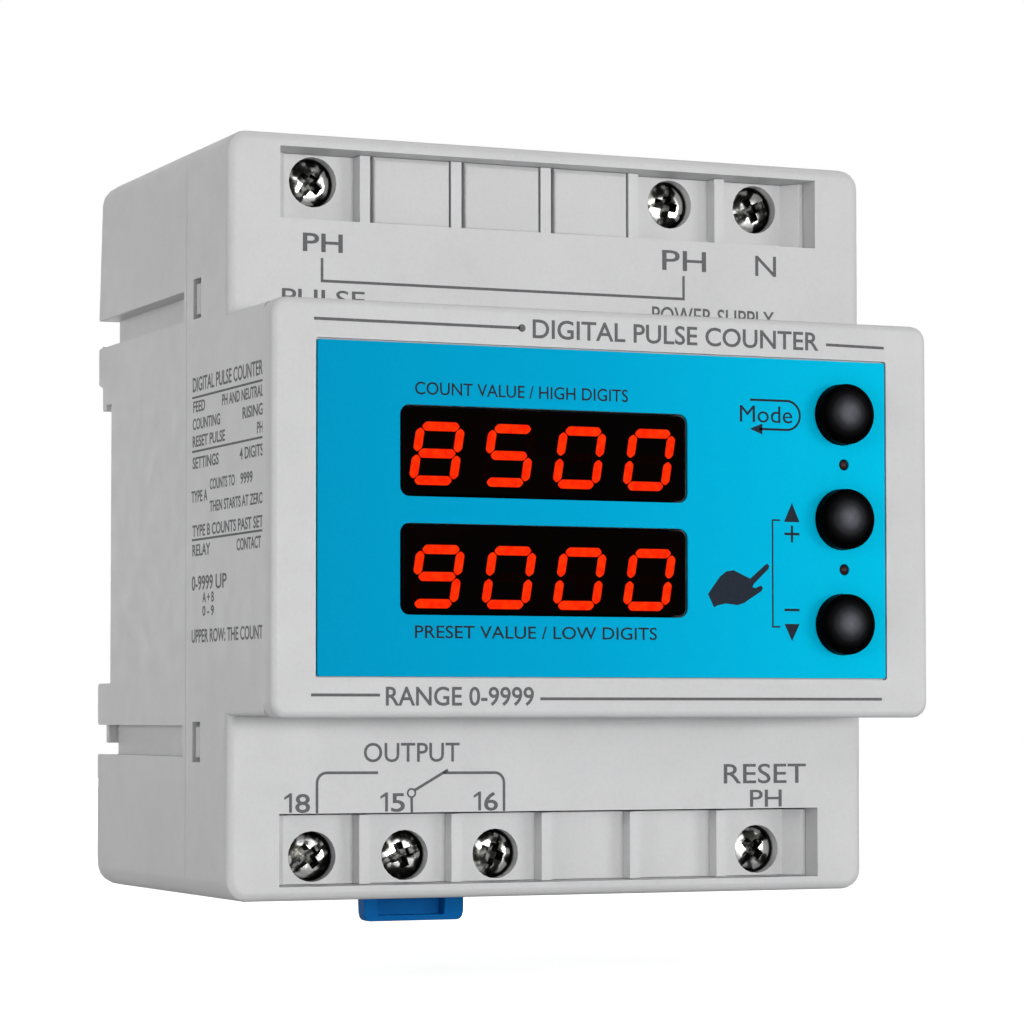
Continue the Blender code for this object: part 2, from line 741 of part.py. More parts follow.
def face_openings(name, front, back):
    """Cutter for the openings of the windows, buttons and lamps, from front to back."""
    bm = bmesh.new()
    outlines = [
        rectangle(PANE_WIDTH / 2, PANE_TALL / 2, (PANE_X, at_height(height)), PANE_CORNER)
        for height in (UPPER_PANE_HEIGHT, LOWER_PANE_HEIGHT)
    ]
    outlines += [circle(BUTTON_RADIUS + FIT_GAP, 32, (BUTTON_X, at_height(height))) for height in BUTTON_HEIGHTS]
    outlines += [circle(LAMP_RADIUS + FIT_GAP, 16, (LAMP_X, at_height(height))) for height in LAMP_HEIGHTS]
    for outline in outlines:
        add_prism(bm, outline, "Y", front - 0.001, back + 0.001)
    return keep(name, bm)


def make_lid(shell):
    middle = (0, at_height((NECK_LOW + NECK_HIGH) / 2))
    half_height = (NECK_HIGH - NECK_LOW) / 2 + LID_OVERHANG
    front = at_depth(LID_DEPTH)
    back = at_depth(LID_SEAM_DEPTH)
    body = prism(
        "front_lid",
        rectangle(HALF_WIDTH + LID_OVERHANG, half_height, middle, LID_CORNER_RADIUS),
        "Y",
        front,
        back,
    )
    round_end(body, "Y", front, LID_FRONT_RADIUS, 3)

    # Skirt that fits inside the neck
    skirt_half = (NECK_HIGH - NECK_LOW) / 2 - WALL - FIT_GAP
    skirt = prism(
        "lid_skirt",
        rectangle(INNER_HALF - FIT_GAP, skirt_half, middle, 0.0006, 2),
        "Y",
        back - 0.0005,
        back + SKIRT_DEPTH,
    )
    skirt_hollow = prism(
        "skirt_hollow",
        rectangle(INNER_HALF - FIT_GAP - SKIRT_WALL, skirt_half - SKIRT_WALL, middle, 0.0004, 2),
        "Y",
        back,
        back + SKIRT_DEPTH + 0.001,
    )
    fuse(body, skirt)
    cut(body, skirt_hollow)

    # Posts that the display board hangs on
    posts = bmesh.new()
    post_height = skirt_half - LID_POST_INSET
    for x in (-LID_POST_X, LID_POST_X):
        for z in (middle[1] - post_height, middle[1] + post_height):
            add_prism(
                posts,
                circle(LID_POST_RADIUS, 12, (x, z)),
                "Y",
                back - 0.0005,
                at_depth(DISPLAY_BOARD_DEPTH + BOARD_THICKNESS + FIT_GAP),
            )
    fuse(body, keep("lid_posts", posts))

    # Recess for the label, then the openings for panes, buttons and lamps
    label_recess = prism(
        "label_recess",
        rectangle(LABEL_WIDTH / 2 + 0.0001, LABEL_HEIGHT / 2 + 0.0001, (LABEL_X, middle[1]), 0.0002, 1),
        "Y",
        front - 0.001,
        front + LABEL_THICKNESS + FIT_GAP,
    )
    cut(body, label_recess, face_openings("lid_openings", front, back))
    return finish(settle(body), shell)


def make_label(look):
    back = at_depth(LID_DEPTH) + LABEL_THICKNESS
    front = back - LABEL_THICKNESS
    body = prism(
        "face_label",
        rectangle(
            LABEL_WIDTH / 2 - 0.0001, LABEL_HEIGHT / 2 - 0.0001, (LABEL_X, at_height(MIDDLE_HEIGHT)), 0.0002, 1
        ),
        "Y",
        front,
        back,
    )
    cut(body, face_openings("label_openings", front, back))
    return finish(settle(body), look)


def make_pane(name, height, look):
    """A window pane: a flush front and a flange that bears on the back of the lid."""
    centre = (PANE_X, at_height(height))
    half_width = PANE_WIDTH / 2 - FIT_GAP
    half_height = PANE_TALL / 2 - FIT_GAP
    flange_front = at_depth(LID_SEAM_DEPTH) + FIT_GAP
    body = prism(
        name,
        rectangle(half_width, half_height, centre, PANE_CORNER - FIT_GAP),
        "Y",
        at_depth(LID_DEPTH),
        flange_front + PANE_FLANGE_THICKNESS / 2,
    )
    flange = prism(
        f"{name}_flange",
        rectangle(half_width + PANE_FLANGE, half_height + PANE_FLANGE, centre, PANE_CORNER),
        "Y",
        flange_front,
        flange_front + PANE_FLANGE_THICKNESS,
    )
    fuse(body, flange)
    return finish(settle(body), look)


# Controls


def make_button(name, height, look):
    """A domed cap, with the flange that holds it behind the lid and the stem that works its switch."""
    top = at_depth(LID_DEPTH + BUTTON_RISE)
    shoulder = top + BUTTON_CROWN
    flange_front = at_depth(LID_SEAM_DEPTH) + FIT_GAP
    flange_back = flange_front + BUTTON_FLANGE_THICKNESS
    stem_end = at_depth(BUTTON_STEM_END)
    profile = [(0, top)]
    for step in range(1, 7):
        turn = math.pi / 2 * step / 6
        radius = BUTTON_RADIUS * math.sin(turn) ** 0.75
        profile.append((radius, shoulder - BUTTON_CROWN * math.cos(turn)))
    profile += [
        (BUTTON_RADIUS, flange_front),
        (BUTTON_RADIUS + BUTTON_FLANGE, flange_front),
        (BUTTON_RADIUS + BUTTON_FLANGE, flange_back),
        (BUTTON_STEM_RADIUS, flange_back),
        (BUTTON_STEM_RADIUS, stem_end),
        (0, stem_end),
    ]
    body = turned(name, profile, (BUTTON_X, at_height(height)), 32)
    with_origin(body, (BUTTON_X, flange_front, at_height(height)))
    return finish(body, look)


def make_lamp(name, height, look):
    """A lamp on the display board whose nose reaches to the face."""
    nose = at_depth(LID_DEPTH)
    body_front = at_depth(LID_SEAM_DEPTH) + FIT_GAP
    body_back = at_depth(DISPLAY_BOARD_DEPTH + BOARD_THICKNESS + FIT_GAP)
    profile = [
        (0, nose),
        (LAMP_RADIUS * 0.7, nose + 0.0001),
        (LAMP_RADIUS, nose + 0.0004),
        (LAMP_RADIUS, body_front),
        (LAMP_BODY_RADIUS, body_front),
        (LAMP_BODY_RADIUS, body_back),
        (0, body_back),
    ]
    return finish(turned(name, profile, (LAMP_X, at_height(height)), 16), look)


# Terminals


def strip_outline():
    """A terminal strip seen along Z: cell floors between ribs, sloped cell ends, and the ears behind the collar."""
    end = RECESS_HALF - FIT_GAP
    ear = end + EAR_WIDTH
    rib, floor = at_depth(RIB_DEPTH), at_depth(FLOOR_DEPTH)
    rear, ear_front = at_depth(STRIP_REAR), at_depth(COLLAR_REAR - FIT_GAP)
    points = [(-end, rib), (-end + END_RIB_WIDTH, rib), (-end + END_RIB_WIDTH + END_SLOPE, floor)]
    for index in range(1, TERMINAL_COUNT):
        x = (index - TERMINAL_COUNT / 2) * TERMINAL_PITCH
        points += [
            (x - RIB_WIDTH / 2, floor),
            (x - RIB_WIDTH / 2, rib),
            (x + RIB_WIDTH / 2, rib),
            (x + RIB_WIDTH / 2, floor),
        ]
    points += [(end - END_RIB_WIDTH - END_SLOPE, floor), (end - END_RIB_WIDTH, rib), (end, rib)]
    points += [(end, ear_front), (ear, ear_front), (ear, rear), (-ear, rear), (-ear, ear_front), (-end, ear_front)]
    return points


def make_strip(name, side, active, holes, shell):
    low, high = sorted(
        (side_height(side, WALL + FIT_GAP), side_height(side, WALL + RECESS_HEIGHT - FIT_GAP))
    )
    body = prism(name, strip_outline(), "Z", low, high)
    z = side_height(side, SCREW_INSET)
    wells = bmesh.new()
    for index in holes:
        bottom = SEAT_FRONT if index in active else FLOOR_DEPTH - PLUG_PEG_LENGTH - FIT_GAP
        outline = circle(SCREW_HOLE_RADIUS, 24, (terminal_x(index), z))
        add_prism(wells, outline, "Y", at_depth(FLOOR_DEPTH) - 0.0005, at_depth(bottom))
    guides = bmesh.new()
    chambers = []
    slots = []
    chamber_half = CAGE_WIDTH / 2 + FIT_GAP
    chamber_inner = SCREW_INSET + CAGE_LENGTH / 2 + FIT_GAP
    for index in active:
        x = terminal_x(index)
        outline = circle(SHANK_HOLE_RADIUS, 16, (x, z))
        add_prism(guides, outline, "Y", at_depth(SEAT_FRONT) - 0.0005, at_depth(CHAMBER_FRONT) + 0.0005)
        chambers.append(
            (
                (x - chamber_half, x + chamber_half),
                (at_depth(CHAMBER_FRONT), at_depth(STRIP_REAR - 0.001)),
                sorted((side_height(side, 0), side_height(side, chamber_inner))),
            )
        )
        slots.append(
            (
                (x - BAR_WIDTH / 2 - FIT_GAP, x + BAR_WIDTH / 2 + FIT_GAP),
                (at_depth(BAR_FRONT + FIT_GAP), at_depth(BAR_REAR - FIT_GAP)),
                sorted((side_height(side, chamber_inner - 0.0005), side_height(side, BAR_REACH))),
            )
        )
    cut(
        body,
        keep(f"{name}_wells", wells),
        keep(f"{name}_guides", guides),
        blocks(f"{name}_chambers", chambers),
        blocks(f"{name}_slots", slots),
    )
    return finish(settle(body), shell)


def make_plug(name, index, side, shell):
    """A blanking plug: a tile level with the ribs and a peg in the unused screw hole."""
    half = (TERMINAL_PITCH - RIB_WIDTH) / 2 - FIT_GAP
    low, high = sorted(
        (side_height(side, WALL + FIT_GAP), side_height(side, WALL + RECESS_HEIGHT - FIT_GAP))
    )
    x, z = terminal_x(index), side_height(side, SCREW_INSET)
    front = at_depth(RIB_DEPTH)
    back = at_depth(FLOOR_DEPTH + FIT_GAP)
    body = block(name, (x - half, x + half), (front, back), (low, high))
    round_end(body, "Y", front, PLUG_EDGE, 2)
    peg = prism(
        f"{name}_peg",
        circle(PLUG_PEG_RADIUS, 16, (x, z)),
        "Y",
        back - 0.0003,
        at_depth(FLOOR_DEPTH - PLUG_PEG_LENGTH),
    )
    fuse(body, peg)
    return finish(settle(body), shell)


def screw_mesh():
    """One terminal screw about the Y axis, its head's top at y = 0, with a crossed drive recess."""
    profile = [
        (0, 0.0),
        (HEAD_RADIUS * 0.82, 0.0),
        (HEAD_RADIUS, HEAD_HEIGHT * 0.25),
        (HEAD_RADIUS, HEAD_HEIGHT),
        (SHANK_RADIUS, HEAD_HEIGHT),
        (SHANK_RADIUS, HEAD_TOP - BAR_FRONT - FIT_GAP - 0.0003),
        (SHANK_RADIUS * 0.7, HEAD_TOP - BAR_FRONT - FIT_GAP),
        (0, HEAD_TOP - BAR_FRONT - FIT_GAP),
    ]
    body = turned("screw_pattern", profile, (0, 0), 24)
    half_width, half_length = DRIVE_WIDTH / 2, DRIVE_LENGTH / 2
    cross = [
        (half_width, half_width),
        (half_length, half_width),
        (half_length, -half_width),
        (half_width, -half_width),
        (half_width, -half_length),
        (-half_width, -half_length),
        (-half_width, -half_width),
        (-half_length, -half_width),
        (-half_length, half_width),
        (-half_width, half_width),
        (-half_width, half_length),
        (half_width, half_length),
    ]
    cut(body, prism("drive_recess", cross, "Y", -0.001, DRIVE_DEPTH))
    mesh = settle(body).data
    bpy.data.objects.remove(body)
    return mesh


def make_screw(name, x, z, turn, pattern, look):
    """A screw from the pattern, its drive recess turned as it happens to stand."""
    body = bpy.data.objects.new(name, pattern.copy())
    bpy.context.scene.collection.objects.link(body)
    body.data.transform(Matrix.Rotation(math.radians(turn), 4, "Y"))
    body.location = (x, at_depth(HEAD_TOP), z)
    return finish(body, look)


def make_cage(name, x, z, look):
    """A rising cage: a closed steel loop round the contact bar, open to the wire."""
    front, rear = at_depth(CAGE_FRONT), at_depth(CAGE_REAR)
    half = CAGE_WIDTH / 2
    body = prism(
        name,
        rounded([(x - half, rear, 0.0006), (x + half, rear, 0.0006), (x + half, front), (x - half, front)], 2),
        "Z",
        z - CAGE_LENGTH / 2,
        z + CAGE_LENGTH / 2,
    )
    inside = block(
        f"{name}_inside",
        (x - half + CAGE_SIDE, x + half - CAGE_SIDE),
        (front + CAGE_PLATE, rear - CAGE_PLATE),
        (z - CAGE_LENGTH, z + CAGE_LENGTH),
    )
    tapped = prism(
        f"{name}_tapped",
        circle(SHANK_RADIUS + FIT_GAP, 12, (x, z)),
        "Y",
        front - 0.001,
        front + CAGE_PLATE + 0.0005,
    )
    cut(body, inside, tapped)
    return with_origin(finish(settle(body), look), (x, front, z))


def make_bar(name, x, side, look):
    """A bent contact bar: one arm under the screw inside the cage, the other down to the power board."""
    outer = SCREW_INSET - CAGE_LENGTH / 2
    inner = BAR_REACH + BAR_THICKNESS
    corners = [
        (at_depth(BAR_FRONT), outer),
        (at_depth(BAR_FRONT), inner, 0.0012),
        (at_depth(POWER_BOARD_FRONT + FIT_GAP), inner),
        (at_depth(POWER_BOARD_FRONT + FIT_GAP), inner - BAR_THICKNESS),
        (at_depth(BAR_REAR), inner - BAR_THICKNESS),
        (at_depth(BAR_REAR), outer),
    ]
    outline = rounded([(c[0], side_height(side, c[1]), *c[2:]) for c in corners], 3)
    body = prism(name, outline, "X", x - BAR_WIDTH / 2, x + BAR_WIDTH / 2)
    return finish(body, look)


# Inside


def make_power_board(look):
    front = at_depth(POWER_BOARD_FRONT)
    middle = (0, at_height(BODY_HEIGHT / 2))
    body = prism(
        "power_board",
        rectangle(POWER_BOARD_WIDTH / 2, POWER_BOARD_HEIGHT / 2, middle, 0.001, 2),
        "Y",
        front,
        front + BOARD_THICKNESS,
    )
    # The latch arms pass the board's edges
    reliefs = []
    arm_inner = HALF_WIDTH - max(GROOVE_DEPTH + WALL, WALL + FIT_GAP + LATCH_THICKNESS) - FIT_GAP
    reach = WALL + 2 * FIT_GAP
    for side in (-1, 1):
        for low, high in ((LOWER_NOTCH_LOW, LOWER_NOTCH_HIGH), (UPPER_NOTCH_LOW, UPPER_NOTCH_HIGH)):
            reliefs.append(
                (
                    sorted((side * arm_inner, side * BODY_WIDTH)),
                    (front - 0.001, front + BOARD_THICKNESS + 0.001),
                    (at_height(low - reach), at_height(high + reach)),
                )
            )
    cut(body, blocks("latch_reliefs", reliefs))
    return finish(settle(body), look)


def make_display_board(look):
    back = at_depth(DISPLAY_BOARD_DEPTH)
    middle = (0, at_height((NECK_LOW + NECK_HIGH) / 2))
    body = prism(
        "display_board",
        rectangle(DISPLAY_BOARD_WIDTH / 2, DISPLAY_BOARD_HEIGHT / 2, middle, 0.001, 2),
        "Y",
        back - BOARD_THICKNESS,
        back,
    )
    return finish(body, look)


def make_inner_pieces(looks):
    """What stands on the two boards."""
    board = at_depth(POWER_BOARD_FRONT) - FIT_GAP
    display_front = at_depth(DISPLAY_BOARD_DEPTH + BOARD_THICKNESS) - FIT_GAP
    display_back = at_depth(DISPLAY_BOARD_DEPTH) + FIT_GAP
    pane_back = at_depth(LID_SEAM_DEPTH) + 2 * FIT_GAP + PANE_FLANGE_THICKNESS

    half_width, half_height = (PANE_WIDTH - MODULE_TRIM) / 2, (PANE_TALL - MODULE_TRIM) / 2
    for name, height in (("upper_display", UPPER_PANE_HEIGHT), ("lower_display", LOWER_PANE_HEIGHT)):
        z = at_height(height)
        body = block(
            name,
            (PANE_X - half_width, PANE_X + half_width),
            (pane_back, display_front),
            (z - half_height, z + half_height),
        )
        finish(body, looks["black"])

    for name, height in zip(("mode_switch", "up_switch", "down_switch"), BUTTON_HEIGHTS):
        z = at_height(height)
        half = SWITCH_SIZE / 2
        body = block(
            name,
            (BUTTON_X - half, BUTTON_X + half),
            (display_front - SWITCH_HEIGHT * 0.7, display_front),
            (z - half, z + half),
        )
        plunger = prism(
            f"{name}_plunger",
            circle(BUTTON_STEM_RADIUS, 12, (BUTTON_X, z)),
            "Y",
            display_front - SWITCH_HEIGHT,
            display_front - SWITCH_HEIGHT / 2,
        )
        fuse(body, plunger)
        finish(settle(body), looks["black"])

    left, right = -POWER_BOARD_WIDTH / 2, POWER_BOARD_WIDTH / 2

    # Mains transformer: laminated core with the winding through it
    core_x, core_z = left + CORE_SIDE_INSET, at_height(MIDDLE_HEIGHT + CORE_RAISE)
    core_front = board - CORE_DEPTH
    core = block(
        "transformer",
        (core_x - CORE_HALF_WIDTH, core_x + CORE_HALF_WIDTH),
        (core_front, board),
        (core_z - CORE_HALF_HEIGHT, core_z + CORE_HALF_HEIGHT),
    )
    winding = prism(
        "transformer_winding",
        rectangle(WINDING_HALF_WIDTH, WINDING_HALF_HEIGHT, (core_x, core_z), 0.002, 3),
        "Y",
        core_front + CORE_DEPTH / 6,
        board - CORE_DEPTH / 6,
    )
    fuse(core, winding)
    finish(settle(core), looks["steel"])

    relay_x = left + RELAY_SIDE_INSET
    relay_low = at_height(BAR_REACH + BAR_THICKNESS + RELAY_PARTING)
    relay = block(
        "relay", (relay_x, relay_x + RELAY_WIDTH), (board - RELAY_DEPTH, board), (relay_low, relay_low + RELAY_HEIGHT)
    )
    round_end(relay, "Y", board - RELAY_DEPTH, 0.0006, 1)
    finish(relay, looks["relay"])

    film_x, film_z = right - FILM_SIDE_INSET, at_height(MIDDLE_HEIGHT + FILM_RAISE)
    film = block(
        "film_capacitor", (film_x - FILM_WIDTH, film_x), (board - FILM_DEPTH, board), (film_z, film_z + FILM_HEIGHT)
    )
    round_end(film, "Y", board - FILM_DEPTH, 0.0006, 1)
    finish(film, looks["film"])

    can = turned(
        "smoothing_capacitor",
        [
            (0, board - CAN_DEPTH),
            (CAN_RADIUS * 0.88, board - CAN_DEPTH),
            (CAN_RADIUS, board - CAN_DEPTH * 0.97),
            (CAN_RADIUS, board),
            (0, board),
        ],
        (right - CAN_SIDE_INSET, at_height(MIDDLE_HEIGHT + CAN_RAISE)),
        20,
    )
    finish(can, looks["can"])

    varistor_x, varistor_z = right - VARISTOR_SIDE_INSET, at_height(MIDDLE_HEIGHT + VARISTOR_RAISE)
    varistor = prism(
        "varistor",
        circle(VARISTOR_RADIUS, 18, (board - VARISTOR_RADIUS - 0.0012, varistor_z)),
        "X",
        varistor_x - VARISTOR_THICKNESS / 2,
        varistor_x + VARISTOR_THICKNESS / 2,
    )
    foot = block(
        "varistor_leads",
        (varistor_x - VARISTOR_THICKNESS / 5, varistor_x + VARISTOR_THICKNESS / 5),
        (board - VARISTOR_RADIUS * 0.6, board),
        (varistor_z - VARISTOR_RADIUS / 2, varistor_z + VARISTOR_RADIUS / 2),
    )
    fuse(varistor, foot)
    finish(settle(varistor), looks["relay"])

    chip_z = at_height(LOWER_PANE_HEIGHT)
    chip = block(
        "microcontroller",
        (PANE_X - CHIP_WIDTH / 2, PANE_X + CHIP_WIDTH / 2),
        (display_back, display_back + CHIP_DEPTH),
        (chip_z - CHIP_HEIGHT / 2, chip_z + CHIP_HEIGHT / 2),
    )
    finish(chip, looks["black"])

    # Pin rows between the two boards
    for name, x in (("left_pin_row", left + PIN_ROW_INSET), ("right_pin_row", right - PIN_ROW_INSET)):
        bottom = at_height(MIDDLE_HEIGHT - PIN_ROW_DROP)
        row = block(
            name,
            (x - PIN_PITCH / 2, x + PIN_PITCH / 2),
            (board - 0.0085, board),
            (bottom - PIN_PITCH / 2, bottom + (PIN_COUNT - 0.5) * PIN_PITCH),
        )
        legs = [
            (
                (x - PIN_WIDTH / 2, x + PIN_WIDTH / 2),
                (display_back, board - 0.004),
                (bottom + index * PIN_PITCH - PIN_WIDTH / 2, bottom + index * PIN_PITCH + PIN_WIDTH / 2),
            )
            for index in range(PIN_COUNT)
        ]
        fuse(row, blocks(f"{name}_legs", legs))
        finish(settle(row), looks["black"])


# Rail clip


def make_clip(look):
    """A sliding clip: a bevelled bite above, a driver slot in the tail, and a sprung tongue between."""
    front, rear = at_depth(CLIP_FRONT), at_depth(CLIP_FRONT - CLIP_THICKNESS)
    half = CLIP_WIDTH / 2
    tail = at_height(-CLIP_PROUD)
    rail_low = SEAT_LOW + RAIL_ROOM
    tip = at_height(rail_low + CLIP_BITE)
    outline = rounded(
        [(-half, tail, 0.0009), (half, tail, 0.0009), (half, tip, 0.0004), (-half, tip, 0.0004)], 3
    )
    body = prism("rail_clip", outline, "Y", front, rear)
    # The bite lies behind the rail's flange, and its tip slopes so that the rail pushes it down
    step = block(
        "bite_step",
        (-CLIP_WIDTH, CLIP_WIDTH),
        (front - 0.001, at_depth(SEAT_DEPTH - RAIL_FLANGE - 0.0002)),
        (at_height(SEAT_LOW - FIT_GAP), tip + 0.001),
    )
    slope = prism(
        "bite_slope",
        [
            (rear + 0.001, at_height(rail_low - 0.0012)),
            (rear + 0.001, tip + 0.001),
            (front + 0.0014, tip + 0.001),
        ],
        "X",
        -CLIP_WIDTH,
        CLIP_WIDTH,
    )
    slot_low = tail + CLIP_SLOT_RAISE
    slot = block(
        "driver_slot",
        (-CLIP_SLOT_WIDTH / 2, CLIP_SLOT_WIDTH / 2),
        (front - 0.001, front + CLIP_SLOT_DEPTH),
        (slot_low, slot_low + CLIP_SLOT_HEIGHT),
    )
    spring_low, spring_high = tail + SPRING_TAIL_ROOM, tip - SPRING_TIP_ROOM
    spring_half = SPRING_WIDTH / 2
    through = (front - 0.001, rear + 0.001)
    relief = prism(
        "spring_relief",
        [
            (-spring_half, spring_low),
            (spring_half, spring_low),
            (spring_half, spring_high),
            (spring_half - SPRING_CUT, spring_high),
            (spring_half - SPRING_CUT, spring_low + SPRING_CUT),
            (-spring_half + SPRING_CUT, spring_low + SPRING_CUT),
            (-spring_half + SPRING_CUT, spring_high),
            (-spring_half, spring_high),
        ],
        "Y",
        *through,
    )
    cut(body, step, slope, slot, relief)
    return with_origin(finish(settle(body), look), (0, front, tip))


def main():
    for item in list(bpy.data.objects):
        bpy.data.objects.remove(item)

    shell = material("light_grey_plastic", (0.60, 0.61, 0.62), 0.45)
    blue = material("blue_label_film", (0.0, 0.32, 0.60), 0.35)
    smoked = material("smoked_window", (0.02, 0.004, 0.004), 0.12)
    black = material("black_plastic", (0.012, 0.012, 0.014), 0.3)
    lamp = material("lamp_lens", (0.09, 0.02, 0.02), 0.25)
    chrome = material("plated_steel", (0.72, 0.72, 0.72), 0.18, 1.0)
    brass = material("tinned_brass", (0.75, 0.72, 0.62), 0.3, 1.0)
    board = material("board_laminate", (0.02, 0.16, 0.07), 0.5)
    clip = material("blue_clip_plastic", (0.0, 0.09, 0.27), 0.4)
    looks = {
        "black": black,
        "steel": material("core_steel", (0.25, 0.24, 0.23), 0.5, 0.8),
        "relay": material("blue_component_case", (0.03, 0.10, 0.30), 0.4),
        "film": material("yellow_component_case", (0.65, 0.42, 0.06), 0.4),
        "can": material("capacitor_sleeve", (0.05, 0.05, 0.09), 0.35),
    }

    make_rear_base(shell)
    make_front_housing(shell)
    make_lid(shell)
    make_label(blue)
    make_pane("upper_window", UPPER_PANE_HEIGHT, smoked)
    make_pane("lower_window", LOWER_PANE_HEIGHT, smoked)
    for name, height in zip(("mode_button", "up_button", "down_button"), BUTTON_HEIGHTS):
        make_button(name, height, black)
    for name, height in zip(("upper_lamp", "lower_lamp"), LAMP_HEIGHTS):
        make_lamp(name, height, lamp)

    make_strip("upper_terminal_strip", 1, UPPER_ACTIVE, UPPER_ACTIVE + UPPER_PLUGGED, shell)
    make_strip("lower_terminal_strip", -1, LOWER_ACTIVE, LOWER_ACTIVE, shell)
    for number, index in enumerate(UPPER_PLUGGED, 1):
        make_plug(f"blanking_plug_{number}", index, 1, shell)
    pattern = screw_mesh()
    turns = {"upper": (38, 12, 64), "lower": (52, 71, 20, 41)}
    for row, side, active in (("upper", 1, UPPER_ACTIVE), ("lower", -1, LOWER_ACTIVE)):
        z = side_height(side, SCREW_INSET)
        for number, index in enumerate(active, 1):
            x = terminal_x(index)
            make_screw(f"{row}_screw_{number}", x, z, turns[row][number - 1], pattern, chrome)
            make_cage(f"{row}_cage_{number}", x, z, chrome)
            make_bar(f"{row}_contact_{number}", x, side, brass)

    make_power_board(board)
    make_display_board(board)
    make_inner_pieces(looks)
    make_clip(clip)

    for item in list(bpy.data.objects):
        if item.hide_render:
            bpy.data.objects.remove(item)


main()
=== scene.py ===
import math

import bmesh
import bpy
from mathutils import Matrix, Vector


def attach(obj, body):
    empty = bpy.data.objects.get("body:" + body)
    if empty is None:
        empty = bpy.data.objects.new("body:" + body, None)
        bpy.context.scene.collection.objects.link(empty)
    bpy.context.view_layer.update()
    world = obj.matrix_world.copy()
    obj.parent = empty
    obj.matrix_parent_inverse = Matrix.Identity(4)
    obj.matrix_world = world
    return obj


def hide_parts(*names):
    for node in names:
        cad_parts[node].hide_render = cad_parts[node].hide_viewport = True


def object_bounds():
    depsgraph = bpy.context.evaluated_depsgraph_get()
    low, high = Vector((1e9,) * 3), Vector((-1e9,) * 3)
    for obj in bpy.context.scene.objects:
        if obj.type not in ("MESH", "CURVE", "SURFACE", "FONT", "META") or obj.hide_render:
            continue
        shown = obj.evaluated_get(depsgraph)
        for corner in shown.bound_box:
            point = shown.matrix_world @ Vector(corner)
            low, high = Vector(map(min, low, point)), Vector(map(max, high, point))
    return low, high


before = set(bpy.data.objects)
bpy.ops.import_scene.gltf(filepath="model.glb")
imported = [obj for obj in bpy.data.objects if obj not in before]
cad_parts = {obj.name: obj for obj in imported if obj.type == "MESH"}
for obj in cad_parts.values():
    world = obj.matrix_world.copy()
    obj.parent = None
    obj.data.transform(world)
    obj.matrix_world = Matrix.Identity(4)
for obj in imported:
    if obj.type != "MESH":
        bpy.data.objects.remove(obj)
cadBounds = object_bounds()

# Main measures in mm: depths count from the rearmost plane, heights from the underside, and x from the middle
mm = 0.001
seatDepth = 5.3  # the rail seat
railCentre = 43.6  # height of the rail's middle
bodyHeight = 90
sideX = -41.75  # the left side
shoulderDepth = 51.5
neckDepth = 63.8
lidDepth = 67.5

# Terminal cells stand in two rows of six, and these of them hold a screw
cell = {"first": -29.5, "pitch": 11.8, "inset": 4.95}
cellsInUse = {"upper": (0, 4, 5), "lower": (0, 1, 2, 5)}

# The buttons and the lamps stand one above the other
controlX = 30.60
buttonPitch = 12.58
buttonHeights = {"mode_button": 45.0 + buttonPitch, "up_button": 45.0, "down_button": 45.0 - buttonPitch}
lampHeights = {"upper_lamp": 51.59, "lower_lamp": 39.01}


def at(x, height, depth):  # the point in metres for places in mm
    return Vector((x, seatDepth - depth, height - railCentre)) * mm


def terminalPlace(row, index):  # the middle of a terminal's screw
    height = bodyHeight - cell["inset"] if row == "upper" else cell["inset"]
    return at(cell["first"] + cell["pitch"] * index, height, 0)


# Picking and placing

def deselectAll():
    active = bpy.context.view_layer.objects.active
    if active and active.mode != "OBJECT":
        bpy.ops.object.mode_set(mode="OBJECT")
    bpy.ops.object.select_all(action="DESELECT")


def pickOnly(piece):
    deselectAll()
    piece.select_set(True)
    bpy.context.view_layer.objects.active = piece


def editAll(piece):
    pickOnly(piece)
    bpy.ops.object.mode_set(mode="EDIT")
    bpy.ops.mesh.select_mode(type="VERT")
    bpy.ops.mesh.select_all(action="SELECT")


def choose(piece, kind, test):  # leaves the piece in edit mode with what passes the test selected
    pickOnly(piece)
    bpy.ops.object.mode_set(mode="EDIT")
    bpy.ops.mesh.select_mode(type=kind)
    bpy.ops.mesh.select_all(action="DESELECT")
    shape = bmesh.from_edit_mesh(piece.data)
    items = {"VERT": shape.verts, "EDGE": shape.edges, "FACE": shape.faces}[kind]
    count = 0
    for item in items:
        if test(item):
            item.select_set(True)
            count += 1
    shape.select_flush_mode()
    bmesh.update_edit_mesh(piece.data)
    return count


def shiftPoints(piece, test, step):  # moves the points that pass the test by a step in mm
    if choose(piece, "VERT", test):
        bpy.ops.transform.translate(value=[part * mm for part in step])


def applyModifier(piece, kind, **values):
    pickOnly(piece)
    change = piece.modifiers.new(kind.lower(), kind)
    for key, value in values.items():
        setattr(change, key, value)
    bpy.ops.object.modifier_apply(modifier=change.name)


def settlePlace(piece):  # puts the object's place into its mesh
    pickOnly(piece)
    bpy.ops.object.transform_apply(location=True, rotation=True, scale=True)


def smoothShade(piece, angle=50):
    # Each corner takes the normals of the faces round it that turn less than the angle, by their area
    pickOnly(piece)
    bpy.ops.object.shade_smooth()
    faces = [(face.normal.copy(), face.area, tuple(face.vertices)) for face in piece.data.polygons]
    around = [[] for vert in piece.data.vertices]
    for normal, area, corners in faces:
        for corner in corners:
            around[corner].append((normal, area))
    least = math.cos(math.radians(angle))
    normals = []
    for normal, area, corners in faces:
        for corner in corners:
            total = normal * area
            for other, size in around[corner]:
                if other is not normal and other.dot(normal) > least:
                    total = total + other * size
            normals.append(total.normalized())
    piece.data.normals_split_custom_set(normals)


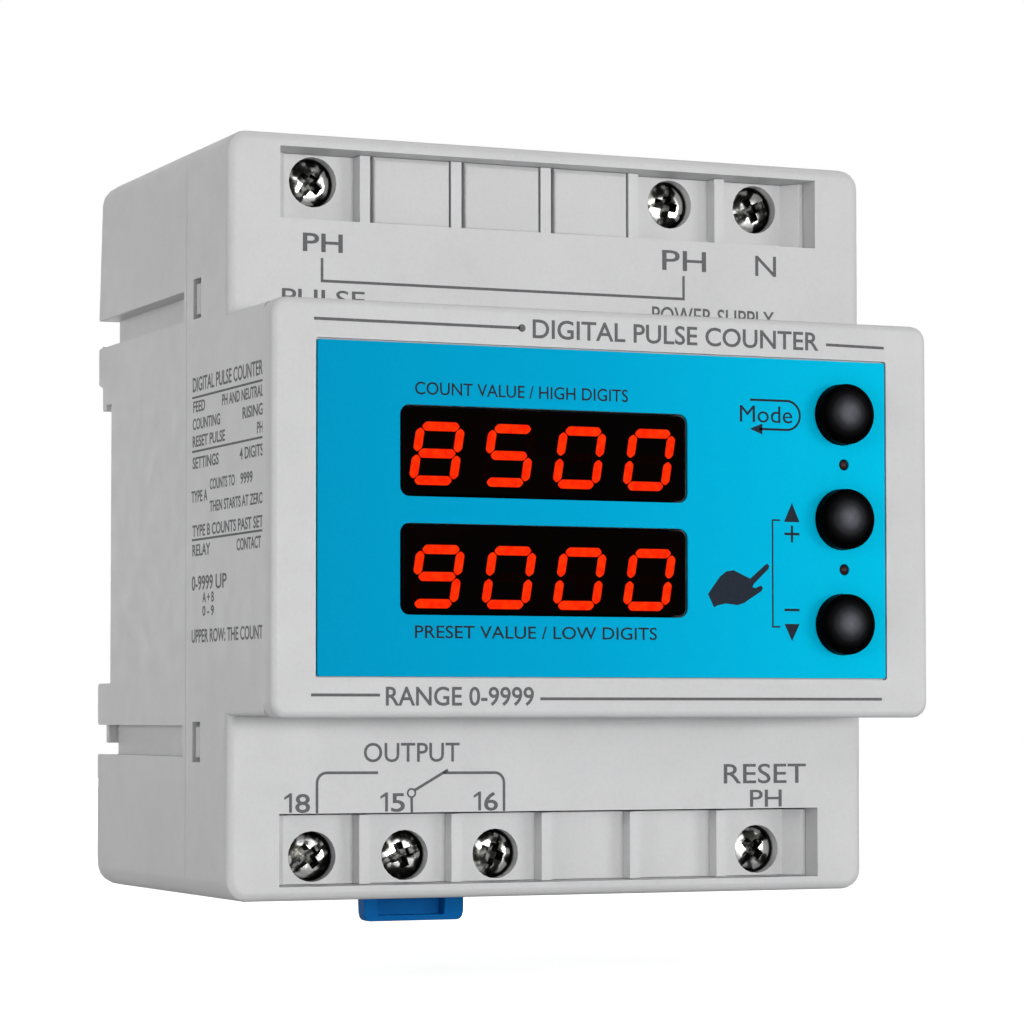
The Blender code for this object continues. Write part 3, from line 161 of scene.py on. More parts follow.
def joinAll(parts, name):
    deselectAll()
    for part in parts:
        part.select_set(True)
    bpy.context.view_layer.objects.active = parts[0]
    if len(parts) > 1:
        bpy.ops.object.join()
    joined = bpy.context.view_layer.objects.active
    joined.name = name
    joined.data.name = name
    return joined


def ownCopy(piece, name):
    made = bpy.data.objects.new(name, piece.data.copy())
    bpy.context.scene.collection.objects.link(made)
    return made


def dress(piece, *looks):
    piece.data.materials.clear()
    for look in looks:
        piece.data.materials.append(look)


def addPiece(piece, look, body, slotName, *nodes):
    dress(piece, look)
    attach(piece, body)
    if nodes:
        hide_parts(*nodes)
    return piece


# Building blocks of the materials; sizes of patterns are in mm

def grey(tone):
    return (tone, tone, tone)


def shade(colour, factor):
    return tuple(min(1, part * factor) for part in colour)


def newLook(name, colour, roughness, metallic=0.0, **inputs):
    look = bpy.data.materials.new(name)
    look.use_nodes = True
    shader = look.node_tree.nodes["Principled BSDF"]
    shader.inputs["Base Color"].default_value = (*colour, 1)
    shader.inputs["Roughness"].default_value = roughness
    shader.inputs["Metallic"].default_value = metallic
    for key, value in inputs.items():
        shader.inputs[key.replace("_", " ")].default_value = value
    return look


def objectPlace(look):
    found = look.node_tree.nodes.get("place")
    if not found:
        found = look.node_tree.nodes.new("ShaderNodeTexCoord")
        found.name = "place"
    return found.outputs["Object"]


def placeAlong(look):  # the place split into its X, Y and Z
    split = look.node_tree.nodes.new("ShaderNodeSeparateXYZ")
    look.node_tree.links.new(objectPlace(look), split.inputs["Vector"])
    return split.outputs


def noise(look, size, detail, stretch=(1, 1, 1)):
    nodes, links = look.node_tree.nodes, look.node_tree.links
    mapping = nodes.new("ShaderNodeMapping")
    mapping.inputs["Scale"].default_value = tuple(part / (size * mm) for part in stretch)
    links.new(objectPlace(look), mapping.inputs["Vector"])
    made = nodes.new("ShaderNodeTexNoise")
    made.inputs["Scale"].default_value = 1
    made.inputs["Detail"].default_value = detail
    links.new(mapping.outputs["Vector"], made.inputs["Vector"])
    return made.outputs["Fac"]


def ramp(look, source, stops):
    nodes, links = look.node_tree.nodes, look.node_tree.links
    made = nodes.new("ShaderNodeValToRGB")
    elements = made.color_ramp.elements
    while len(elements) < len(stops):
        elements.new(0.5)
    for element, (place, colour) in zip(elements, stops):
        element.position = place
        element.color = (*colour, 1)
    links.new(source, made.inputs["Fac"])
    return made.outputs["Color"]


def spread(look, source, low, high, fromLow=0.3, fromHigh=0.7):
    nodes, links = look.node_tree.nodes, look.node_tree.links
    made = nodes.new("ShaderNodeMapRange")
    made.inputs["From Min"].default_value = fromLow
    made.inputs["From Max"].default_value = fromHigh
    made.inputs["To Min"].default_value = low
    made.inputs["To Max"].default_value = high
    links.new(source, made.inputs["Value"])
    return made.outputs["Result"]


def blendColours(look, kind, factor, first, second):
    nodes, links = look.node_tree.nodes, look.node_tree.links
    made = nodes.new("ShaderNodeMix")
    made.data_type = "RGBA"
    made.blend_type = kind
    sockets = (made.inputs["Factor"], made.inputs[6], made.inputs[7])  # 6 and 7 are the two colours
    for socket, value in zip(sockets, (factor, first, second)):
        if isinstance(value, (int, float, tuple)):
            socket.default_value = value
        else:
            links.new(value, socket)
    return made.outputs[2]  # the mixed colour


def into(look, source, name):
    look.node_tree.links.new(source, look.node_tree.nodes["Principled BSDF"].inputs[name])


def mottle(look, size, detail, stops, name="Base Color"):  # the colour comes in soft spots
    into(look, ramp(look, noise(look, size, detail), stops), name)


def roughen(look, size, detail, rough, stretch=(1, 1, 1)):
    into(look, spread(look, noise(look, size, detail, stretch), *rough), "Roughness")


def bump(look, size, detail, height, strength, stretch=(1, 1, 1)):
    source = noise(look, size, detail, stretch)
    nodes, links = look.node_tree.nodes, look.node_tree.links
    made = nodes.new("ShaderNodeBump")
    made.inputs["Distance"].default_value = height * mm
    made.inputs["Strength"].default_value = strength
    links.new(source, made.inputs["Height"])
    links.new(made.outputs["Normal"], nodes["Principled BSDF"].inputs["Normal"])


# Patches, sheen spots and scratches in mm, and specks as a multiple of the grain
plastic = {"roughness": 0.47, "patches": 14, "darker": 0.975, "lighter": 1.02, "specks": 2.5, "speckTone": 0.94,
           "speckShare": 0.5, "sheenSpots": 3, "grainStrength": 0.5}
metal = {"spots": 0.5, "darker": 0.86, "lighter": 1.06, "scratchDepth": 0.004, "scratchStrength": 0.5}


def mouldedPlastic(name, colour, grain=0.16, grainHeight=0.012, rough=(0.40, 0.54), **inputs):
    look = newLook(name, colour, plastic["roughness"], **inputs)
    tones = [(0.35, shade(colour, plastic["darker"])), (0.65, shade(colour, plastic["lighter"]))]
    patches = ramp(look, noise(look, plastic["patches"], 3), tones)
    specks = noise(look, grain * plastic["specks"], 2)
    specks = ramp(look, specks, [(0.30, grey(plastic["speckTone"])), (0.55, grey(1))])
    into(look, blendColours(look, "MULTIPLY", plastic["speckShare"], patches, specks), "Base Color")
    roughen(look, plastic["sheenSpots"], 4, rough)
    bump(look, grain, 2, grainHeight, plastic["grainStrength"])
    return look


def metalLook(name, colour, rough, scratch):  # the scratches lie across the axis with the large number
    look = newLook(name, colour, sum(rough) / 2, metallic=1.0)
    tones = [(0.3, shade(colour, metal["darker"])), (0.7, shade(colour, metal["lighter"]))]
    mottle(look, metal["spots"] * 3, 4, tones)
    roughen(look, metal["spots"], 5, rough, scratch)
    bump(look, metal["spots"] * 0.4, 3, metal["scratchDepth"], metal["scratchStrength"], scratch)
    return look


# Shells, clip and inner parts
shellPlastic = mouldedPlastic("lightGreyPlastic", (0.63, 0.63, 0.635))
lidPlastic = mouldedPlastic("lidGreyPlastic", (0.63, 0.63, 0.635))
clipPlastic = mouldedPlastic("blueClipPlastic", (0.0, 0.143, 0.455), grain=0.2, grainHeight=0.01,
                             rough=(0.34, 0.46), IOR=1.12)
partBlack = mouldedPlastic("blackPartPlastic", (0.016, 0.016, 0.018), grain=0.12, grainHeight=0.006,
                           rough=(0.42, 0.58))
boardLaminate = mouldedPlastic("boardLaminate", (0.02, 0.16, 0.07), grain=0.3, grainHeight=0.008,
                               rough=(0.28, 0.40))
blueCase = mouldedPlastic("blueComponentCase", (0.03, 0.10, 0.30), grain=0.15, grainHeight=0.006,
                          rough=(0.30, 0.42))
yellowCase = mouldedPlastic("yellowComponentCase", (0.65, 0.42, 0.06), grain=0.15, grainHeight=0.006,
                            rough=(0.32, 0.44))
canSleeve = mouldedPlastic("capacitorSleeve", (0.05, 0.05, 0.09), grain=0.15, grainHeight=0.004,
                           rough=(0.28, 0.38))
cageSteel = metalLook("cageSteel", (0.55, 0.55, 0.54), (0.24, 0.40), (1, 8, 1))
tinnedBrass = metalLook("tinnedBrass", (0.66, 0.62, 0.50), (0.25, 0.42), (1, 1, 7))
coreSteel = metalLook("coreSteel", (0.16, 0.15, 0.145), (0.4, 0.6), (1, 12, 1))

# Inks
printInk = newLook("greyPrintInk", (0.125, 0.125, 0.13), 0.6, Specular_IOR_Level=0.2)
mottle(printInk, 0.25, 3, [(0.3, (0.15, 0.15, 0.155)), (0.7, (0.105, 0.105, 0.11))])
darkInk = newLook("darkPrintInk", (0.010, 0.016, 0.028), 0.6, Specular_IOR_Level=0.12)
mottle(darkInk, 0.25, 3, [(0.3, (0.013, 0.022, 0.038)), (0.7, (0.008, 0.012, 0.022))])

# Screws: plated steel whose colour is painted in dark and bright patches as painted reflections of a dark studio and
# bright lamps, and a driver recess painted dark as painted shade
platedSteel = newLook("platedSteel", grey(0.4), 0.2, metallic=1.0)
# Painted reflection: the dark and bright patches in the plating's colour stand for the studio that the head mirrors
mottle(platedSteel, 1.9, 1.5, [(0.42, (0.025, 0.025, 0.022)), (0.48, (0.12, 0.12, 0.115)),
                               (0.53, (0.90, 0.90, 0.88))])
roughen(platedSteel, 0.4, 5, (0.12, 0.28))
bump(platedSteel, 0.7, 2, 0.05, 0.6)
# Painted shade: the faces of the driver's slot and cross are coloured near black, darker than the plating round them
driveRecessShade = newLook("driveRecessPaintedShade", grey(0.03), 0.35, metallic=1.0)
mottle(driveRecessShade, 0.6, 3, [(0.45, (0.012, 0.012, 0.012)), (0.66, (0.14, 0.14, 0.13))])
roughen(driveRecessShade, 0.3, 4, (0.25, 0.45))

# The label's film runs from a deeper blue on the left to a brighter one on the right
filmEnds = (-0.0367, 0.0363)  # in metres
filmBlues = [(0.0, (0.0, 0.345, 0.615)), (0.45, (0.0, 0.415, 0.715)), (1.0, (0.0, 0.590, 0.890))]
labelFilm = newLook("blueLabelFilm", (0.0, 0.36, 0.64), 0.38, IOR=1.05)
film = ramp(labelFilm, spread(labelFilm, placeAlong(labelFilm)["X"], 0, 1, *filmEnds), filmBlues)
weave = ramp(labelFilm, noise(labelFilm, 0.35, 2), [(0.3, grey(0.965)), (0.7, grey(1))])
into(labelFilm, blendColours(labelFilm, "MULTIPLY", 1.0, film, weave), "Base Color")
roughen(labelFilm, 2, 4, (0.34, 0.46))
bump(labelFilm, 0.22, 2, 0.006, 0.4)

# Windows, digits and lamps
windowPane = newLook("smokedWindow", (0.002, 0.0006, 0.0006), 0.09, IOR=1.05)
mottle(windowPane, 5, 3, [(0.35, (0.0008, 0.0003, 0.0003)), (0.7, (0.0024, 0.0004, 0.0004))])
roughen(windowPane, 1.5, 4, (0.06, 0.14))
litSegment = newLook("litSegment", (0.02, 0.001, 0.0), 0.4, IOR=1.02, Emission_Strength=1.0)
mottle(litSegment, 0.9, 2, [(0.3, (0.94, 0.016, 0.0015)), (0.7, (1.0, 0.040, 0.003))], "Emission Color")
darkSegment = newLook("darkSegment", (0.004, 0.0006, 0.0006), 0.35, IOR=1.02)
mottle(darkSegment, 0.6, 2, [(0.3, (0.0024, 0.0003, 0.0003)), (0.7, (0.0048, 0.0004, 0.0004))])
lampLens = newLook("lampLens", (0.03, 0.008, 0.006), 0.3, Specular_IOR_Level=0.15)
mottle(lampLens, 0.3, 2, [(0.3, (0.022, 0.007, 0.006)), (0.7, (0.042, 0.011, 0.009))])

# Painted shade: the strip's colour goes dark below the screw wells' mouths, where no light reaches
wellShade = {"starts": 45.2, "full": 44.7, "tone": 0.012}
# Painted light: the strips' plastic is a lighter copy of the shell's, to offset the shade in the recess
stripPlastic = mouldedPlastic("stripGreyPlastic", (0.67, 0.67, 0.675))
deep = spread(stripPlastic, placeAlong(stripPlastic)["Y"], 0, 1,
              at(0, 0, wellShade["starts"]).y, at(0, 0, wellShade["full"]).y)
stripBase = stripPlastic.node_tree.nodes["Principled BSDF"].inputs["Base Color"].links[0].from_socket
wellTone = (*grey(wellShade["tone"]), 1)
into(stripPlastic, blendColours(stripPlastic, "MIX", deep, stripBase, wellTone), "Base Color")
print("materials ready")


# Moulded and pressed pieces: the CAD shapes with their loose triangles merged and their edges softened.
# Lengths in mm, angles in degrees; "room" is how many bevel widths the edges next to a bevel must have

soft = {"weld": 0.004, "flatAngle": 0.5, "crispAngle": 30, "room": 2.4, "onPlane": 0.03, "onRing": 0.08,
        "rayStart": 0.08, "rayLength": 30}


def opensOut(edge):  # whether the edge faces open air and not the inside of the counter
    middle = (edge.verts[0].co + edge.verts[1].co) / 2
    outward = (edge.link_faces[0].normal + edge.link_faces[1].normal).normalized()
    start = middle + outward * soft["rayStart"] * mm
    layers = bpy.context.evaluated_depsgraph_get()
    return not bpy.context.scene.ray_cast(layers, start, outward, distance=soft["rayLength"] * mm)[0]


def softenedCopy(nodeName, pieceName, look, body, slotName, width, segments=2, moves=(), seams=(), rings=()):
    piece = ownCopy(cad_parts[nodeName], pieceName)
    editAll(piece)
    bpy.ops.mesh.remove_doubles(threshold=soft["weld"] * mm)
    bpy.ops.mesh.dissolve_limited(angle_limit=math.radians(soft["flatAngle"]))
    for axis, place, shift in moves:  # fitting gaps drawn together, as the real pieces sit
        step = [shift if number == axis else 0 for number in range(3)]
        shiftPoints(piece, lambda vert: place is None or abs(vert.co[axis] - place * mm) < soft["onPlane"] * mm, step)
    for centre, radius, wanted, aside in rings:  # round holes brought to the width and the place that show
        def onRing(vert):
            return abs(math.hypot(vert.co.x - centre.x, vert.co.z - centre.z) - radius * mm) < soft["onRing"] * mm

        choose(piece, "VERT", onRing)
        bpy.ops.transform.resize(value=(wanted / radius, 1, wanted / radius), center_override=centre)
        bpy.ops.transform.translate(value=(aside * mm, 0, 0))
    room = soft["room"] * width * mm

    def isCrisp(edge):
        angle = math.radians(soft["crispAngle"])
        if len(edge.link_faces) != 2 or not edge.is_convex or edge.calc_face_angle(0) < angle:
            return False
        if any(all(abs(vert.co.y - seam * mm) < soft["onPlane"] * mm for vert in edge.verts) for seam in seams):
            return False
        return all(other.calc_length() > room for vert in edge.verts for other in vert.link_edges) and opensOut(edge)

    if choose(piece, "EDGE", isCrisp):
        bpy.ops.mesh.bevel(offset=width * mm, offset_type="OFFSET", segments=segments, profile=0.5,
                           affect="EDGES", clamp_overlap=True)
    bpy.ops.object.mode_set(mode="OBJECT")
    smoothShade(piece)
    return addPiece(piece, look, body, slotName, nodeName)


# Where the moulded pieces meet, and how far each gap is drawn together; a move is axis, place and shift
fit = {"rearSeam": 35.65, "frontSeam": 35.95, "seamShift": -0.22, "stripEnd": 35.1, "rowOuter": 1.95,
       "rowInner": 9.95, "rowShift": 0.24, "tileAside": 0.17}
rearSeam, frontSeam, neckRim = seatDepth - fit["rearSeam"], seatDepth - fit["frontSeam"], seatDepth - neckDepth
rearClosed, neckClosed = rearSeam + fit["seamShift"], neckRim + fit["seamShift"]
rowOuter, rowInner, rowShift = fit["rowOuter"], fit["rowInner"], fit["rowShift"]
stripEnds = [(0, -fit["stripEnd"], -rowShift), (0, fit["stripEnd"], rowShift)]
upperFits = [(2, bodyHeight - rowOuter - railCentre, rowShift), (2, bodyHeight - rowInner - railCentre, -rowShift)]
lowerFits = [(2, rowOuter - railCentre, -rowShift), (2, rowInner - railCentre, rowShift)]
tileFits = upperFits + [(0, None, fit["tileAside"])]
wellRadius = {"modelled": 2.85, "shown": 3.0}
wells = {row: [(terminalPlace(row, index), wellRadius["modelled"], wellRadius["shown"], 0) for index in used]
         for row, used in cellsInUse.items()}
mouldings = {  # piece, look, edge width, moves, planes without soft edges, screw wells
    "rear_base": ("rearShell", shellPlastic, 0.15, [(1, rearSeam, fit["seamShift"])], (rearClosed,), ()),
    "front_housing": ("frontHousing", shellPlastic, 0.15, [(1, neckRim, fit["seamShift"])],
                      (frontSeam, neckClosed), ()),
    "front_lid": ("frontLid", lidPlastic, 0.12, [], (), ()),
    "upper_terminal_strip": ("upperStrip", stripPlastic, 0.10, stripEnds + upperFits, (), wells["upper"]),
    "lower_terminal_strip": ("lowerStrip", stripPlastic, 0.10, stripEnds + lowerFits, (), wells["lower"]),
    "blanking_plug_1": ("blankingTile1", shellPlastic, 0.08, tileFits, (), ()),
    "blanking_plug_2": ("blankingTile2", shellPlastic, 0.08, tileFits, (), ()),
    "blanking_plug_3": ("blankingTile3", shellPlastic, 0.08, tileFits, (), ()),
}
for nodeName, (pieceName, look, width, moves, seams, rings) in mouldings.items():
    softenedCopy(nodeName, pieceName, look, "housing", "shell", width, moves=moves, seams=seams, rings=rings)

edgeWidth = {"clip": 0.18, "label": 0.04, "pane": 0.1, "cage": 0.12, "contact": 0.12}

# The clip's tail hangs below the body, and its rear and left faces are brought in
clipTail = {"below": -2, "rear": 1.6, "thinner": 1.2, "left": -5.2, "narrower": 0.75}
tailTop, tailRear = at(0, clipTail["below"], 0).z, at(0, 0, clipTail["rear"]).y
clip = softenedCopy("rail_clip", "railClip", clipPlastic, "rail_clip", "clip", edgeWidth["clip"])
shiftPoints(clip, lambda vert: vert.co.z < tailTop and vert.co.y > tailRear, (0, -clipTail["thinner"], 0))
shiftPoints(clip, lambda vert: vert.co.z < tailTop and vert.co.x < clipTail["left"] * mm,
            (clipTail["narrower"], 0, 0))
bpy.ops.object.mode_set(mode="OBJECT")

# The label's holes: radius in the CAD, radius that shows, and shift to the right
labelHole = {"button": (4.1, 3.70, -0.26), "lamp": (0.95, 0.68, 0)}
labelHoles = [(at(controlX, height, 0), *labelHole["button"]) for height in buttonHeights.values()]
labelHoles += [(at(controlX, height, 0), *labelHole["lamp"]) for height in lampHeights.values()]
softenedCopy("face_label", "faceLabel", labelFilm, "housing", "label_film", edgeWidth["label"], segments=1,
             rings=labelHoles)
for nodeName, pieceName in (("upper_window", "upperPane"), ("lower_window", "lowerPane")):
    softenedCopy(nodeName, pieceName, windowPane, "housing", "smoked_window", edgeWidth["pane"])
for row, used in cellsInUse.items():
    for number in range(1, len(used) + 1):
        cage, contact = f"{row}_cage_{number}", f"{row}_contact_{number}"
        softenedCopy(cage, f"{row}Cage{number}", cageSteel, cage, "plated_steel", edgeWidth["cage"])
        softenedCopy(contact, f"{row}Contact{number}", tinnedBrass, "housing", "tinned_brass", edgeWidth["contact"])
print("moulded and pressed pieces softened")

inside = {
    "power_board": boardLaminate, "display_board": boardLaminate, "transformer": coreSteel,
    "relay": blueCase, "varistor": blueCase, "film_capacitor": yellowCase, "smoothing_capacitor": canSleeve,
    "upper_display": partBlack, "lower_display": partBlack, "mode_switch": partBlack, "up_switch": partBlack,
    "down_switch": partBlack, "microcontroller": partBlack, "left_pin_row": partBlack, "right_pin_row": partBlack,
}
for nodeName, look in inside.items():
    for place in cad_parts[nodeName].material_slots:
        place.material = look
print("inner pieces finished")


# Turned pieces, drawn out ring by ring from a disc; the profile is (radius, depth) in mm

def turnedPiece(name, profile, x, height, sides):
    radius, depth = profile[0]
    deselectAll()
    bpy.ops.mesh.primitive_circle_add(vertices=sides, radius=radius * mm, fill_type="NGON",
                                      location=at(x, height, depth), rotation=(math.pi / 2, 0, 0))
    piece = bpy.context.object
    piece.name = name
    settlePlace(piece)
    editAll(piece)
    bpy.ops.mesh.select_mode(type="FACE")
    for nextRadius, nextDepth in profile[1:]:
        move = (0, (depth - nextDepth) * mm, 0)
        bpy.ops.mesh.extrude_region_move(TRANSFORM_OT_translate={"value": move})
        scale = nextRadius / radius
        bpy.ops.transform.resize(value=(scale, 1, scale), center_override=at(x, height, nextDepth))
        radius, depth = nextRadius, nextDepth
    bpy.ops.mesh.select_all(action="SELECT")
    bpy.ops.mesh.normals_make_consistent(inside=False)
    bpy.ops.object.mode_set(mode="OBJECT")
    return piece


def dome(radius, foot, rise, steps, power=1):  # a smaller power makes the shoulder fuller
    turns = [math.pi / 2 * step / steps for step in range(1, steps)]
    return [(radius * math.cos(turn) ** power, foot + rise * math.sin(turn)) for turn in turns]


turnedAngle = 40  # degrees, from which an edge of a turned piece stays crisp
button = {"x": 30.30, "radius": 3.62, "side": 1.35, "domeRise": 1.15, "stem": 1.6, "stemBack": 61.8,
          "flange": 4.4, "flangeBack": 63.0, "paintedHighlightAside": -0.2, "paintedHighlightUp": 0.1, "sides": 64, "domeSteps": 20}

# Black plastic with a painted highlight: its colour is a soft grey on the crown of each button and goes black towards
# the edge
paintedHighlightTones = [(0.0, (0.155, 0.162, 0.180)), (0.22, (0.110, 0.115, 0.128)), (0.44, (0.036, 0.037, 0.042)),
               (0.64, (0.007, 0.007, 0.008)), (0.85, (0.0008, 0.0006, 0.0006))]
buttonPlastic = newLook("blackButton", grey(0.002), 0.3, IOR=1.04)
nodes, links = buttonPlastic.node_tree.nodes, buttonPlastic.node_tree.links
along = placeAlong(buttonPlastic)
crown = at(button["x"] + button["paintedHighlightAside"], buttonHeights["up_button"] + button["paintedHighlightUp"], 0)
nearest = nodes.new("ShaderNodeMath")  # the three buttons stand one pitch apart
nearest.operation = "WRAP"
links.new(along["Z"], nearest.inputs[0])
nearest.inputs[1].default_value = crown.z + buttonPitch / 2 * mm
nearest.inputs[2].default_value = crown.z - buttonPitch / 2 * mm
flat = nodes.new("ShaderNodeCombineXYZ")
links.new(along["X"], flat.inputs["X"])
links.new(nearest.outputs[0], flat.inputs["Z"])
away = nodes.new("ShaderNodeVectorMath")
away.operation = "DISTANCE"
links.new(flat.outputs[0], away.inputs[0])
away.inputs[1].default_value = (crown.x, 0, crown.z)
# Painted highlight: the grey fades with the distance from the crown of the nearest button
reach = spread(buttonPlastic, away.outputs["Value"], 0, 1, 0, button["radius"] * mm)
paintedHighlight = ramp(buttonPlastic, reach, paintedHighlightTones)
cloudy = ramp(buttonPlastic, noise(buttonPlastic, 0.8, 3), [(0.3, grey(0.8)), (0.7, grey(1))])
into(buttonPlastic, blendColours(buttonPlastic, "MULTIPLY", 1.0, paintedHighlight, cloudy), "Base Color")
roughen(buttonPlastic, 0.7, 4, (0.26, 0.36))
bump(buttonPlastic, 0.12, 2, 0.002, 0.5)


def buttonProfile():
    foot = lidDepth + button["side"]
    points = [(button["stem"], button["stemBack"]), (button["stem"], button["flangeBack"]),
              (button["flange"], button["flangeBack"]), (button["flange"], neckDepth),
              (button["radius"], neckDepth), (button["radius"], foot)]
    return points + dome(button["radius"], foot, button["domeRise"], button["domeSteps"])


for node, height in buttonHeights.items():
    cap = turnedPiece(node.replace("_button", "Button"), buttonProfile(), button["x"], height, button["sides"])
    smoothShade(cap, turnedAngle)
    addPiece(cap, buttonPlastic, node, "button", node)

lamp = {"radius": 0.6, "body": 1.3, "back": 57.9, "sunk": 0.4, "domeRise": 0.38, "sides": 24, "domeSteps": 6}
lampFoot = lidDepth - lamp["sunk"]
for node, height in lampHeights.items():
    points = [(lamp["body"], lamp["back"]), (lamp["body"], neckDepth), (lamp["radius"], neckDepth),
              (lamp["radius"], lampFoot)]
    points += dome(lamp["radius"], lampFoot, lamp["domeRise"], lamp["domeSteps"])
    lens = turnedPiece(node.replace("_lamp", "Lamp"), points, controlX, height, lamp["sides"])
    smoothShade(lens, turnedAngle)
    addPiece(lens, lampLens, "housing", "lamp", node)
print("buttons and lamps made")

# Terminal screws: a turned blank with a threaded shank, then a slot and a cross cut into its head
screw = {"headRadius": 2.75, "under": 42.6, "edge": 44.6, "crown": 45.3, "shoulder": 0.6, "shank": 1.4,
         "thread": 0.22, "pitch": 0.5, "tip": 35.9, "tipShare": 0.55, "lead": 0.3, "softEdge": 0.06,
         "softAngle": 50, "sides": 48, "domeSteps": 9,
         "slotWidth": 0.95, "slotLength": 6, "slotDepth": 0.8, "slotTaper": 0.85,
         "crossWidth": 1.45, "crossLength": 3.9, "crossDepth": 1.5, "crossTaper": 0.6}
screwTurns = {"upper": (38, 12, 64), "lower": (52, 71, 20, 41)}  # how each screw stands, in degrees


def screwBlank():
    root = screw["shank"] - screw["thread"]
    depth = screw["tip"] + screw["lead"]
    points = [(screw["shank"] * screw["tipShare"], screw["tip"]), (root, depth)]
    while depth + screw["pitch"] < screw["under"] - screw["lead"]:
        points += [(screw["shank"], depth + screw["pitch"] * 0.5), (root, depth + screw["pitch"])]
        depth += screw["pitch"]
    points += [(root, screw["under"]), (screw["headRadius"], screw["under"]), (screw["headRadius"], screw["edge"])]
    rise = screw["crown"] - screw["edge"]
    points += dome(screw["headRadius"], screw["edge"], rise, screw["domeSteps"], screw["shoulder"])
    return turnedPiece("screwBlank", points, 0, railCentre, screw["sides"])


def cutter(kind, turn):  # a tapered block that cuts the slot, or one bar of the cross
    depth, taper = screw[kind + "Depth"], screw[kind + "Taper"]
    deselectAll()
    bpy.ops.mesh.primitive_cube_add(size=1, location=at(0, railCentre, screw["crown"]))
    made = bpy.context.object
    made.scale = (screw[kind + "Width"] * mm, 2 * depth * mm, screw[kind + "Length"] * mm)
    settlePlace(made)
    floorPoint = at(0, railCentre, screw["crown"] - depth)
    choose(made, "VERT", lambda vert: abs(vert.co.y - floorPoint.y) < 1e-6)
    bpy.ops.transform.resize(value=(taper, 1, taper), center_override=floorPoint)
    bpy.ops.object.mode_set(mode="OBJECT")
    made.data.transform(Matrix.Rotation(math.radians(turn), 4, "Y"))
    dress(made, platedSteel, driveRecessShade)
    for face in made.data.polygons:
        face.material_index = 1
    return made


blank = screwBlank()
dress(blank, platedSteel, driveRecessShade)
for kind, turn in (("slot", 0), ("cross", 0), ("cross", 90)):
    tool = cutter(kind, turn)
    applyModifier(blank, "BOOLEAN", operation="DIFFERENCE", solver="EXACT", object=tool)
    bpy.data.objects.remove(tool)
applyModifier(blank, "BEVEL", width=screw["softEdge"] * mm, segments=2, limit_method="ANGLE",
              angle_limit=math.radians(screw["softAngle"]))
for row, turns in screwTurns.items():
    for number, (index, turn) in enumerate(zip(cellsInUse[row], turns), 1):
        node = f"{row}_screw_{number}"
        made = ownCopy(blank, f"{row}Screw{number}")
        made.data.transform(Matrix.Rotation(math.radians(turn), 4, "Y"))
        made.data.transform(Matrix.Translation(terminalPlace(row, index) - at(0, railCentre, 0)))
        smoothShade(made, turnedAngle)
        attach(made, node)
        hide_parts(node)
bpy.data.objects.remove(blank)
print("terminal screws made")


# Seven-segment digits, one bar modelled once and copied

digit = {"height": 7.25, "width": 6.0, "stroke": 1.06, "gap": 0.24, "taper": 0.44, "round": 0.2, "slant": 9.0,
         "pitch": 8.94, "left": -25.72, "thickness": 0.03, "sunk": 0.005}
shownNumbers = {"8500": 47.83, "9000": 33.78}  # each with the height of its foot
segmentsOn = {"0": "abcdef", "5": "acdfg", "8": "abcdefg", "9": "abcdfg"}


def segmentBar(length):  # a hexagonal bar lying along X, its front on the XZ plane
    deselectAll()
    half = digit["stroke"] / 2 * mm
    bpy.ops.mesh.primitive_circle_add(vertices=6, radius=half, fill_type="NGON", rotation=(math.pi / 2, 0, 0))
    made = bpy.context.object
    settlePlace(made)
    made.data.transform(Matrix.Rotation(math.radians(30), 4, "Y"))
    made.data.transform(Matrix.Diagonal((1, 1, 1 / math.cos(math.radians(30)), 1)))
    pull = (length / 2 - digit["stroke"] / 2) * mm
    for side in (-1, 1):  # blunt points at the two ends
        choose(made, "VERT", lambda vert: half * 0.1 < side * vert.co.x < half * 0.8)
        bpy.ops.transform.translate(value=(side * (half * 0.5 - digit["taper"] * mm), 0, 0))
    for side in (-1, 1):
        choose(made, "VERT", lambda vert: side * vert.co.x > half * 0.02)
        bpy.ops.transform.translate(value=(side * pull, 0, 0))
    bpy.ops.mesh.select_all(action="SELECT")
    bpy.ops.mesh.bevel(offset=digit["round"] * mm, segments=2, affect="VERTICES", clamp_overlap=True)
    bpy.ops.mesh.select_all(action="SELECT")
    bpy.ops.mesh.extrude_region_move(TRANSFORM_OT_translate={"value": (0, -digit["thickness"] * mm, 0)})
    bpy.ops.mesh.select_all(action="SELECT")
    bpy.ops.mesh.normals_make_consistent(inside=False)
    bpy.ops.object.mode_set(mode="OBJECT")
    return made


def digitBars(symbol, left, base, lit):
    w, h, s = digit["width"], digit["height"], digit["stroke"]
    tall = (h - s) / 2
    spots = {"a": (w / 2, h - s / 2, levelBar), "g": (w / 2, h / 2, levelBar), "d": (w / 2, s / 2, levelBar),
             "f": (s / 2, h / 2 + tall / 2, uprightBar), "b": (w - s / 2, h / 2 + tall / 2, uprightBar),
             "e": (s / 2, h / 2 - tall / 2, uprightBar), "c": (w - s / 2, h / 2 - tall / 2, uprightBar)}
    made = []
    slant = Matrix.Identity(4)
    slant[0][2] = math.tan(math.radians(digit["slant"]))
    for key, (u, v, pattern) in spots.items():
        if (key in segmentsOn[symbol]) != lit:
            continue
        bar = ownCopy(pattern, f"bar_{key}")
        bar.data.transform(Matrix.Translation(Vector((u, 0, v)) * mm))
        bar.data.transform(slant)
        bar.data.transform(Matrix.Translation(at(left, base, lidDepth - digit["sunk"])))
        made.append(bar)
    return made


